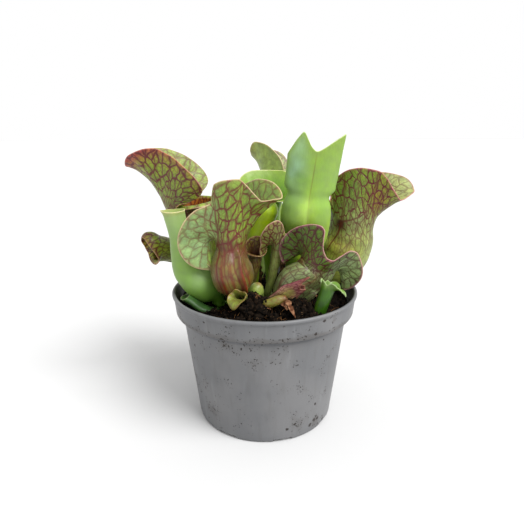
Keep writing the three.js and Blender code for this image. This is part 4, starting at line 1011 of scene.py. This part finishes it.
def leaf_material(name, look):
    """Leaf skin: painted tone, a net of veins in the leaf's own millimetres, and a paler margin."""
    nodes = Nodes(name, look["roughness"])
    position = nodes.position()
    surface = nodes.warped(nodes.add("ShaderNodeUVMap", uv_map="veins"), 0.28, (2.6, 2.6, 0.0))
    tone = nodes.attribute("tone")
    net = nodes.attribute("net", output=2)
    edge = nodes.attribute("edge", output=2)
    wide, tall = look["cell"]
    vein = rgb(look["vein"]) * LEAF_SHADE

    def web(size, width):
        """How far it is to the nearest line of a net, and the line itself."""
        scaled = nodes.vector("MULTIPLY", surface, (1 / (wide * size), 1 / (tall * size), 0.0))
        inputs = {"Vector": scaled, "Scale": 1.0, "Randomness": 0.92}
        away = nodes.add("ShaderNodeTexVoronoi", inputs, feature="DISTANCE_TO_EDGE", voronoi_dimensions="2D")
        return away, nodes.fall(away, width * 0.5, width)

    def shaded(value, saturation):
        inputs = {"Value": value, "Saturation": saturation, "Color": tone}
        return nodes.add("ShaderNodeHueSaturation", inputs)

    coarse_away, coarse = web(1.0, look["line"])
    fine = web(0.46, 0.15)[1]
    across = nodes.add("ShaderNodeSeparateXYZ", {0: surface})
    stripe = nodes.math("PINGPONG", nodes.times(across, 1 / look["stripe"]), 0.5)
    strong = nodes.most(coarse, nodes.times(nodes.fall(stripe, 0.03, 0.075), look["stripes"]))
    lines = nodes.most(strong, nodes.times(fine, look["fine"]))
    breaks = nodes.plus(nodes.times(nodes.clouds(position, 420.0, 2.0, 0.3, 0.52), 0.3), 0.75)
    faded = nodes.times(nodes.times(lines, breaks), net)
    strength = nodes.most(faded, nodes.attribute("stroke", output=2))

    lighter = shaded(1 + 0.2 * look["mottle"], 1.05)
    darker = shaded(1 - 0.2 * look["mottle"], 1.0)
    colour = nodes.mix(nodes.clouds(position, 260.0, 4.0, 0.35, 0.68), darker, lighter)
    colour = nodes.tint(colour, nodes.rise(coarse_away, 0.05, 0.4), nodes.times(net, 0.35), lighter)
    colour = nodes.tint(colour, nodes.fall(coarse_away, 0.02, 0.34), nodes.times(net, look["halo"]), vein)
    colour = nodes.mix(strength, colour, vein)
    ragged = nodes.plus(edge, nodes.times(nodes.noise(position, 700.0, 2.0), 0.5))
    for band in ("flush", "margin"):
        near = nodes.fall(ragged, 0.2, look[band + "_width"])
        colour = nodes.tint(colour, near, look[band], rgb(look[band + "_tone"]))

    light = {"Subsurface Weight": 0.12, "Subsurface Radius": (0.9, 1.0, 0.35), "Subsurface Scale": 1.2 * MM}
    nodes.fill(nodes.shader, light)
    height = nodes.math("SUBTRACT", nodes.times(nodes.noise(position, 900.0, 2.0), 0.3), strength)
    return nodes.finish(colour, height, 0.16, 0.7)


def reading(value):
    """A strength, or a colour as the skin reflects it, from its code."""
    return rgb(value) * LEAF_SHADE if isinstance(value, str) else np.array([value])


def painted(stops, spots, theta, place, rough):
    """Colours or strengths over a leaf: stops along it, then soft spots."""
    places = [stop[0] for stop in stops]
    values = np.array([reading(stop[1]) for stop in stops])
    base = np.stack([np.interp(place, places, column) for column in values.T], axis=-1)
    field = np.repeat(base[:, None], len(theta), axis=1)
    for angle, at, width, height, value, weight in spots:
        near = bell(from_angle(np.degrees(theta), angle) / width) * bell((place - at) / height)[:, None]
        near = np.clip(weight * near * (1 + 0.35 * rough), 0, 1)
        field = field + (reading(value) - field) * near[..., None]
    return field


def stroked(strokes, grid, theta, place):
    """Strength of the main veins over a leaf."""
    field = np.zeros(grid.shape[:2])
    turns = np.append(theta, 2 * math.pi)
    whole = np.concatenate([grid, grid[:, :1]], axis=1)
    for width, weight, path in strokes:
        knots = np.array(path, float)
        fine = np.linspace(0, len(knots) - 1, 60)
        angles, places = (np.interp(fine, np.arange(len(knots)), column) for column in knots.T)
        angles = np.radians(angles) % (2 * math.pi)
        rows = np.interp(places, place, np.arange(len(place)))
        low = np.minimum(rows.astype(int), len(place) - 2)
        spots = []
        for row, share, angle in zip(low, rows - low, angles):
            ring = whole[row] * (1 - share) + whole[row + 1] * share
            spots.append([np.interp(angle, turns, column) for column in ring.T])
        taper = 1 - 0.45 * np.linspace(0, 1, len(fine))
        away = np.linalg.norm(grid[:, :, None] - np.array(spots), axis=-1) / taper
        near = smooth_step(1.6 - away.min(axis=2) / width * 1.6)
        field = np.maximum(field, weight * near)
    return field


def skin_piece(name, grid, across, along, look, tone, floats):
    """A dressed leaf or stump. across and along are its skin's own millimetres, for the net of veins."""
    rings, rays = grid.shape[:2]
    quads, ray_of = ring_faces(rings, rays)
    uvs = np.stack([across[ray_of], along.ravel()[quads]], axis=-1).reshape(-1, 2)
    uvs = np.concatenate([uvs, np.zeros((2 * rays, 2))])
    mesh = new_mesh(name, *closed_rings([grid]), uvs, floats, {"tone": tone.reshape(-1, 3)})
    add_piece(name + "_skin", mesh, leaf_material(name, look), name)


def turned_in(outer, rim, inner):
    """The outer side's rings from the foot up, the rim's own ring, and the inner side's from the rim down."""
    return np.concatenate([outer, rim[None], inner[::-1]])


def leaf_piece(name, leaf):
    look = {**PLAIN_LOOK, **LOOKS[name]}
    rays, tube_rings, hood_rings = look["detail"]
    shape = Leaf(leaf)
    wing_angle, wing_height = leaf["wing"]
    theta = ray_angles(shape, wing_angle, rays)
    s = np.linspace(0, 1, tube_rings + 1)
    t = np.linspace(0, 1, hood_rings + 1)[1:]
    grid = np.concatenate([shape.tube(theta, s), shape.hood(theta, t)])
    place = np.concatenate([s, 1 + t])
    normals = grid_normals(grid)
    rim_steps, mouth_steps = (
        np.linalg.norm(np.roll(ring, -1, axis=0) - ring, axis=1) for ring in (grid[-1], grid[tube_rings])
    )
    across = np.concatenate([[0], np.cumsum(0.7 * rim_steps + 0.3 * mouth_steps)])
    steps = np.linalg.norm(np.diff(grid, axis=0), axis=2)
    along = np.concatenate([np.zeros((1, rays)), np.cumsum(steps, axis=0)])
    edge = along[-1] - along

    open_part = smooth_step((place - 0.35) / 0.3)[:, None]
    relief = look["relief"] * noise(grid / 5.5, 1) + 0.08 * noise(grid / 2.2, 2)
    wave_at = np.broadcast_to(grid[-1], grid.shape) / look["wave_length"]
    wave = look["wave"] * noise(wave_at, 3) * np.clip(place - 1, 0, 1)[:, None] ** 2
    skin = grid + normals * (relief * open_part + wave)[..., None]
    wall = LEAF_WALL + (RIM_WALL - LEAF_WALL) * smooth_step((place - 1.1) / 0.9)
    first = math.ceil(HOLLOW_FROM * tube_rings)
    inner = (skin - normals * wall[:, None, None])[first:]
    fade = smooth_step((place - 0.15) / 0.3) * smooth_step((1 - place) / 0.15)
    near_wing = bell(from_angle(np.degrees(theta), wing_angle) / 7)
    crest = wing_height * look["crest"] * fade[:, None] * near_wing
    outer = skin + normals * crest[..., None]
    tip = unit(skin[-1] - skin[-2]) * RIM_WALL * 0.4
    fold = (outer[-1] + inner[-1]) / 2 + tip

    rough = noise(grid / 4.0, 4)
    tone = painted(look["tone"], look["spots"], theta, place, rough)
    tone_in = painted(look.get("inside", look["tone"]), look["inside_spots"], theta, place, rough)[first:]
    net = painted(look["net"], look["net_spots"], theta, place, rough)
    net_in = painted(look.get("net_inside", look["net"]), [], theta, place, rough)[first:]
    stroke = stroked(look["strokes"], grid, theta, place)
    floats = {
        "net": turned_in(net, net[-1], net_in),
        "edge": turned_in(edge, edge[-1], edge[first:]),
        "stroke": turned_in(stroke, stroke[-1], np.zeros(inner.shape[:2])),
    }
    tones = turned_in(tone, (tone[-1] + tone_in[-1]) / 2, tone_in)
    alongs = turned_in(along, along[-1], along[first:])
    skin_piece(name, turned_in(outer, fold, inner), across, alongs, look, tones, floats)


def stalk_rings(path, radius_at, grid, lumps, seed):
    """Rings of a round stalk along a path, with a lumpy skin."""
    sides, rings = grid
    places = np.linspace(0, 1, rings)
    at, along = path.frames(places)
    side = unit(np.cross(along, [0.31, 0.17, 0.9]))
    other = np.cross(along, side)
    x, y = circle(sides).T[..., None]
    around = side[:, None] * x + other[:, None] * y
    skin = at[:, None] + around * radius_at(places)[:, None, None]
    return skin + around * (lumps * noise(skin / 2.2, seed))[..., None]


def stump_piece(name, stump):
    look = {**PLAIN_LOOK, **LOOKS[name]}
    path = grown_path(stump)
    sides, rings = STUMP_GRID
    grid = stalk_rings(path, smooth_curve(stump["radii"]), STUMP_GRID, 0.25, 5)
    rough = noise(grid / 3.0, 6)
    theta = np.arange(sides) / sides * 2 * math.pi
    places = np.linspace(0, 1, rings)
    tone = painted(look["tone"], look["spots"], theta, places, rough)
    net = painted(look["net"], [], theta, places, rough)
    across = np.arange(sides + 1) / sides * STUMP_GIRTH
    along = np.repeat(np.arange(rings) / rings * path.length[-1], sides)
    floats = {"net": net, "edge": np.full(along.size, STUMP_EDGE), "stroke": np.zeros(along.size)}
    skin_piece(name, grid, across, along, look, tone, floats)


def rounded(outline, radius):
    """An outline with each inner corner replaced by a short curve."""
    points = [np.array(p, float) for p in outline]
    smooth = [points[0]]
    for before, corner, after in zip(points[:-2], points[1:-1], points[2:]):
        back = before - corner
        ahead = after - corner
        reach = min(radius, 0.42 * np.linalg.norm(back), 0.42 * np.linalg.norm(ahead))
        a = corner + unit(back) * reach
        b = corner + unit(ahead) * reach
        smooth += [a, a * 0.25 + corner * 0.5 + b * 0.25, b]
    return smooth + [points[-1]]


def refined(outline, longest):
    """An outline with no step longer than a length."""
    points = [outline[0]]
    for a, b in zip(outline[:-1], outline[1:]):
        parts = max(1, math.ceil(np.linalg.norm(b - a) / longest))
        points += [a + (b - a) * i / parts for i in range(1, parts + 1)]
    return np.array(points)


def lathe_mesh(name, outline, segments):
    """A body of revolution whose outline starts and ends on the axis."""
    grid = np.array([raised(circle(segments) * radius, z) for radius, z in outline[1:-1]])
    faces = ring_faces(len(grid), segments)[0].tolist()
    low = len(grid) * segments
    last = low - segments
    for j in range(segments):
        k = (j + 1) % segments
        faces += [[low, k, j], [low + 1, last + j, last + k]]
    middles = [[0, 0, outline[0][1]], [0, 0, outline[-1][1]]]
    return new_mesh(name, np.concatenate([grid.reshape(-1, 3), middles]), faces)


def cutter_mesh():
    """The drain holes and foot notches, as one mesh of plain rods and blocks."""
    rod = circle(DRAIN_SIDES) * DRAIN_RADIUS
    outlines = [(centre + rod, (-2, 6)) for centre in circle(DRAIN_HOLES) * DRAIN_CIRCLE]
    near = FOOT_INNER_RADIUS - 1
    far = FOOT_INNER_RADIUS + FOOT_NOTCH_DEPTH
    half = FOOT_NOTCH_WIDTH / 2
    block = np.array([[near, -half], [far, -half], [far, half], [near, half]])
    for i in range(FOOT_NOTCHES):
        x, y, _ = level_ray((i + FOOT_NOTCH_TURN) / FOOT_NOTCHES * 2 * math.pi)
        outlines.append((block @ np.array([[x, y], [-y, x]]), (-1, FOOT_NOTCH_HEIGHT)))
    grids = [np.array([raised(outline, z) for z in heights]) for outline, heights in outlines]
    return new_mesh("cutters", *closed_rings(grids))


def wall_point(azimuth, height):
    """The point of the pot's outer wall at an azimuth and a height."""
    radii, heights = np.array(POT_WALL).T
    return level_ray(math.radians(azimuth)) * np.interp(height, heights, radii) + [0, 0, height]


def pot_material():
    nodes = Nodes("pot_plastic", 0.5, 0.45)
    position = nodes.position()
    colour = nodes.mix(nodes.clouds(position, 38.0, 4.0, 0.35, 0.65), rgb("626365"), rgb("6d6d6e"))
    streaks = nodes.vector("MULTIPLY", position, (1.0, 1.0, 0.1))
    colour = nodes.tint(colour, nodes.clouds(streaks, 420.0, 5.0, 0.5, 0.72), 0.16, rgb("4a4842"))
    colour = nodes.tint(colour, nodes.clouds(streaks, 300.0, 3.0, 0.6, 0.75), 0.16, rgb("8e8f90"))
    height = nodes.add("ShaderNodeSeparateXYZ", {0: position}, output=2)
    from_collar = nodes.math("ABSOLUTE", nodes.math("SUBTRACT", height, COLLAR_SHADE_HEIGHT * MM))
    colour = nodes.tint(colour, nodes.fall(from_collar, 0.5 * MM, 1.8 * MM), 0.45, rgb("3e4147"))

    ragged = nodes.warped(position, 900.0, (0.0018, 0.0018, 0.0018))
    # This value darkens and speckles the plastic where the pot is dirty, and on the inner wall above the
    # soil, where it is also painted shade.
    dirt_and_shade = nodes.times(nodes.attribute("dirt_and_shade", output=2), 0.34)
    spread = nodes.plus(nodes.noise(position, 130.0, 5.0), dirt_and_shade)
    grains = []
    for cells, within, past, start, full in GRAINS:
        away = nodes.add("ShaderNodeTexVoronoi", {"Vector": ragged, "Scale": cells}, feature="F1")
        grains.append(nodes.times(nodes.fall(away, within, past), nodes.rise(spread, start, full)))
    grime = nodes.most(*grains)
    for azimuth, at, size in FLECKS:
        away = nodes.vector("DISTANCE", ragged, wall_point(azimuth, at) * MM, output=1)
        grime = nodes.most(grime, nodes.fall(away, size * 0.8 * MM, size * 1.25 * MM))
    colour = nodes.tint(colour, nodes.rise(spread, 0.6, 0.9), 0.4, rgb("46403a"))
    colour = nodes.tint(colour, grime, 0.95, rgb("1e130c"))
    fine = nodes.plus(nodes.noise(position, 1500.0, 2.0), nodes.times(grime, 1.6))
    return nodes.finish(colour, fine, 0.05, 0.6)


def cut(piece, cutter):
    """Cuts a cutter out of a piece and removes the cutter."""
    tool = piece.modifiers.new("cut", "BOOLEAN")
    tool.operation = "DIFFERENCE"
    tool.solver = "EXACT"
    tool.object = cutter
    depsgraph = bpy.context.evaluated_depsgraph_get()
    mesh = bpy.data.meshes.new_from_object(piece.evaluated_get(depsgraph))
    piece.modifiers.clear()
    piece.data = mesh
    used = cutter.data
    bpy.data.objects.remove(cutter)
    bpy.data.meshes.remove(used)


def pot_piece():
    outline = refined(rounded(POT_OUTLINE, POT_ROUNDING), POT_STEP)
    whole = lathe_mesh("pot", outline, POT_SEGMENTS)
    piece = add_piece("pot_body", whole, pot_material(), "pot")
    cut(piece, new_object("cutters", cutter_mesh()))
    mesh = piece.data
    x, y, z = (np.array([vertex.co for vertex in mesh.vertices]) / MM).T
    azimuth = np.degrees(np.arctan2(y, x))
    dirt_and_shade = np.zeros(len(x))
    for turn, height, spread, strength in DIRT:
        away = np.radians(from_angle(azimuth, turn)) * MID_WALL_RADIUS
        dirt_and_shade = np.maximum(dirt_and_shade, strength * bell(np.hypot(away, z - height) / spread))
    # The value is high all round the inner wall above the soil: the dirt there, and painted shade.
    low, high = INNER_WALL_HEIGHTS
    dirt_and_shade[(np.hypot(x, y) < INNER_WALL_RADIUS) & (z > low) & (z < high)] = INNER_WALL_DIRT_AND_SHADE
    add_floats(mesh, "dirt_and_shade", dirt_and_shade)
    mesh.polygons.foreach_set("use_smooth", [True] * len(mesh.polygons))
    mesh.set_sharp_from_angle(angle=math.radians(SHARP_FROM))


def soil_height(x, y):
    """The soil's surface as in the solids: clumps, a mound with two heaps in front, a hollow at the right."""
    clumps = 0.8 * np.sin(0.42 * x + 1.1) * np.sin(0.39 * y + 0.4)
    clumps = clumps + 0.55 * np.sin(0.83 * x - 0.6 * y + 2.0) + 0.4 * np.sin(0.35 * x + 0.97 * y + 4.1)
    mound = 4.6 * bell((x - 2) / 17) * bell((y + 27) / 10)
    left_heap = 3.2 * bell((x + 6) / 7) * bell((y + 28) / 7)
    right_heap = 2.4 * bell((x - 14) / 8) * bell((y + 28) / 7)
    hollow = -2.4 * bell((x - 34) / 12) * bell((y + 6) / 18)
    return SOIL_LEVEL + clumps + mound + left_heap + right_heap + hollow


def soil_top(x, y):
    """The soil's surface with its crumbly relief."""
    flat = np.stack([x, y, np.zeros_like(x)], axis=-1)
    crumbs = 0.75 * np.abs(noise(flat / 2.6, 11)) + 0.5 * noise(flat / 1.3, 12) + 0.25 * noise(flat / 0.7, 13)
    return soil_height(x, y) + crumbs - 0.2


def rough_material(name):
    dark, light, specks = ROUGH_TONES[name]
    nodes = Nodes(name, 0.95, 0.07)
    position = nodes.position()
    colour = nodes.mix(nodes.clouds(position, 700.0, 4.0, 0.38, 0.66), rgb(dark), rgb(light))
    colour = nodes.tint(colour, nodes.clouds(position, 1300.0, 2.0, 0.66, 0.74), specks, rgb("8a6b4c"))
    return nodes.finish(colour, nodes.noise(position, 1900.0, 4.0), 0.5, 1.0)


def soil_piece():
    sides, count = SOIL_GRID
    spokes = circle(sides)
    rings = [raised(spokes * radius, height) for radius, height in SOIL_SIDE]
    for radius in np.linspace(SOIL_SIDE[-1][0], 0.6, count):
        x, y = radius * spokes.T
        rings.append(np.stack([x, y, soil_top(x, y)], axis=-1))
    ring_piece("soil_bed", [np.array(rings)], rough_material("soil"), "soil")


def random_spot(random, reach):
    """A random place on the soil within reach of its middle."""
    radius = reach * math.sqrt(random.random())
    return radius * level_ray(random.random() * 2 * math.pi)[:2]


def heap_spot(random, number):
    """A random place on one of the heaps, taken in turn."""
    middle, spread, _ = HEAPS[number % len(HEAPS)]
    return np.array([random.normal(m, s) for m, s in zip(middle, spread)])


def from_heap(at, heap):
    """How far a place is from a heap's middle, squared, where 1 is its spread."""
    return sum(((a - m) / s) ** 2 for a, m, s in zip(at, heap[0], heap[1]))


def kept_in(at, reach):
    """A place on the soil, moved in where it is out of reach of the middle."""
    out = np.hypot(*at)
    return at * reach / out if out > reach else at


def ball_rings(sides, count):
    """Rings of a round lump of radius 1, from its underside up."""
    slopes = np.linspace(2.8, 0.34, count)
    return np.array([raised(circle(sides) * math.sin(slope), math.cos(slope)) for slope in slopes])


def crumb_piece(random):
    """Clumps on the heaps, then loose crumbs all over the soil."""
    coarse_ball = ball_rings(*CRUMB_GRID)
    fine_ball = ball_rings(*CLUMP_GRID)
    grids = []
    for number in range(CLUMPS + LOOSE_CRUMBS):
        if number < CLUMPS:
            ball = fine_ball
            heap = HEAPS[number % len(HEAPS)]
            at = heap_spot(random, number)
            size = random.uniform(0.9, 2.3)
            lift = heap[2] * random.random() * math.exp(-0.6 * from_heap(at, heap))
        else:
            ball = coarse_ball
            at = random_spot(random, LOOSE_CRUMB_REACH)
            size = random.choice(CRUMB_SIZES, p=CRUMB_SHARES) * random.uniform(0.8, 1.2)
            lift = 0.0
        at = kept_in(at, SOIL_REACH - size)
        shift = random.random(3) * 50
        lumps = 0.5 * noise(ball * 1.4 + shift, 21) + 0.4 * noise(ball * 3.2 + shift, 22)
        lumps = lumps + 0.3 * noise(ball * 7.5 + shift, 23)
        lump = ball * (1 + lumps)[..., None] * size * random.uniform(0.7, 1.25, 3)
        grids.append(lump + [*at, soil_top(*at) + lift + 0.3 * size])
    ring_piece("soil_crumbs", grids, rough_material("crumbs"))


def fibre_piece(random):
    """Thin fibres that bend over the soil, every other one on a heap."""
    strands = []
    for number in range(FIBRES):
        at = random_spot(random, FIBRE_REACH)
        if number % 2:
            at = heap_spot(random, number // 2)
        heading = random.random() * 2 * math.pi
        length = random.uniform(3, 11)
        steps = []
        for _ in range(FIBRE_STEPS):
            heading += random.normal(0, 0.5)
            at = kept_in(at + level_ray(heading)[:2] * length / FIBRE_STEPS, FIBRE_END_REACH)
            lift = 0.35 + abs(random.normal(0, 0.6))
            for heap in HEAPS:
                lift += (0.8 * heap[2] + 1.4) * math.exp(-0.8 * from_heap(at, heap)) / 1.3
            steps.append([*at, soil_top(*at) + lift])
        thick = random.uniform(0.09, 0.2)
        taper = smooth_curve([[0, thick * 0.6], [0.4, thick], [1, thick * 0.4]])
        strands.append(stalk_rings(Path(steps), taper, FIBRE_GRID, 0.02, 31))
    ring_piece("soil_fibres", strands, rough_material("fibres"))


def strip_rings(strip):
    """Rings of a thin folded strip with a ragged outline along a path."""
    knots, half_width, facing, fold, twist, seed = strip
    sides, count = STRIP_GRID
    places = np.linspace(0, 1, count)
    at, along = Path(knots).frames(places)
    turn = np.radians(facing) + twist * places
    side = unit(np.cross(along, np.stack([np.cos(turn), np.sin(turn), np.zeros_like(turn)], axis=-1)))
    normal = np.cross(side, along)
    u, v = circle(sides).T
    ragged = 1 + 0.5 * noise(at / 1.3, seed)
    width = half_width * np.sin(math.pi * (0.12 + 0.84 * places)) ** 0.6 * ragged
    rings = at[:, None] + side[:, None] * (width[:, None] * u)[..., None]
    lift = 0.16 * v + fold * width[:, None] * np.abs(u)
    rings = rings + normal[:, None] * lift[..., None]
    return rings + normal[:, None] * (0.5 * noise(rings / 1.6, seed + 1))[..., None]


def rhizome_piece():
    """The creeping stem and its roots, under the soil."""
    sides, rings = RHIZOME_GRID
    slopes = np.radians(np.linspace(-88, 88, rings))
    shell = np.array([raised(circle(sides) * math.cos(slope), math.sin(slope)) for slope in slopes])
    rough = 0.25 * noise(shell * 9, 41) + 0.12 * noise(shell * 22, 42) - 0.3
    grids = [RHIZOME_CENTRE + shell * RHIZOME_RADII + shell * rough[..., None]]
    for i in range(ROOTS):
        out = level_ray((i + 0.5) / ROOTS * 2 * math.pi)
        bends = [(3, 3), (10, 6), (13 + i % 3, ROOT_LENGTH * 0.6), (14 - i % 2 * 4, ROOT_LENGTH)]
        path = Path([RHIZOME_CENTRE + out * reach - [0, 0, drop] for reach, drop in bends])
        grids.append(stalk_rings(path, smooth_curve(ROOT_RADIUS), ROOT_GRID, 0.15, 43))
    ring_piece("rhizome_bark", grids, rough_material("rhizome"), "rhizome")


def add_camera():
    pitch = math.radians(CAMERA_PITCH)
    back = Vector((0, -math.cos(pitch), math.sin(pitch)))
    right = Vector((1, 0, 0))
    up = Vector((0, math.sin(pitch), math.cos(pitch)))
    turned_right = right * math.cos(CAMERA_ROLL) - up * math.sin(CAMERA_ROLL)
    turned_up = right * math.sin(CAMERA_ROLL) + up * math.cos(CAMERA_ROLL)
    data = bpy.data.cameras.new("camera")
    data.sensor_width = CAMERA_SENSOR
    data.lens = CAMERA_LENS
    data.clip_start = 0.01
    data.clip_end = 20
    camera = new_object("camera", data)
    turn = Matrix((turned_right, turned_up, back)).transposed().to_4x4()
    camera.matrix_world = Matrix.Translation(Vector(CAMERA_AT) * MM) @ turn
    bpy.context.scene.camera = camera


def add_stage():
    """The floor, the light from all round and the soft sun."""
    mesh = bpy.data.meshes.new("floor")
    reach = FLOOR_REACH * MM
    corners = [(-reach, -reach, 0), (reach, -reach, 0), (reach, reach, 0), (-reach, reach, 0)]
    mesh.from_pydata(corners, [], [(0, 1, 2, 3)])
    floor = new_object("floor", mesh)
    floor.location.z = -FLOOR_DROP * MM
    nodes = Nodes("floor", 0.9, 0.1)
    nodes.fill(nodes.shader, {"Base Color": (FLOOR_GREY, FLOOR_GREY, FLOOR_GREY, 1)})
    mesh.materials.append(nodes.material)

    world = bpy.data.worlds.new("studio")
    world.use_nodes = True
    sky = world.node_tree.nodes["Background"]
    sky.inputs["Color"].default_value = (1, 1, 1, 1)
    sky.inputs["Strength"].default_value = SKY_STRENGTH
    bpy.context.scene.world = world
    sun = bpy.data.lights.new("key", "SUN")
    sun.angle = math.radians(SUN_SPREAD)
    sun.energy = SUN_STRENGTH
    new_object("key", sun).rotation_euler = Vector(SUN_TOWARDS).to_track_quat("Z", "Y").to_euler()
    bpy.context.scene.view_settings.view_transform = "Standard"


add_camera()
add_stage()
pot_piece()
soil_piece()
soil_random = np.random.default_rng(SOIL_SEED)
crumb_piece(soil_random)
fibre_piece(soil_random)
for name, strips in (("old_bases_and_shade", OLD_BASES_AND_SHADE), ("dry_scraps", SCRAPS)):
    ring_piece(name, [strip_rings(strip) for strip in strips], rough_material(name))
rhizome_piece()
for name, leaf in LEAVES.items():
    leaf_piece(name, leaf)
for name, stump in STUMPS.items():
    stump_piece(name, stump)
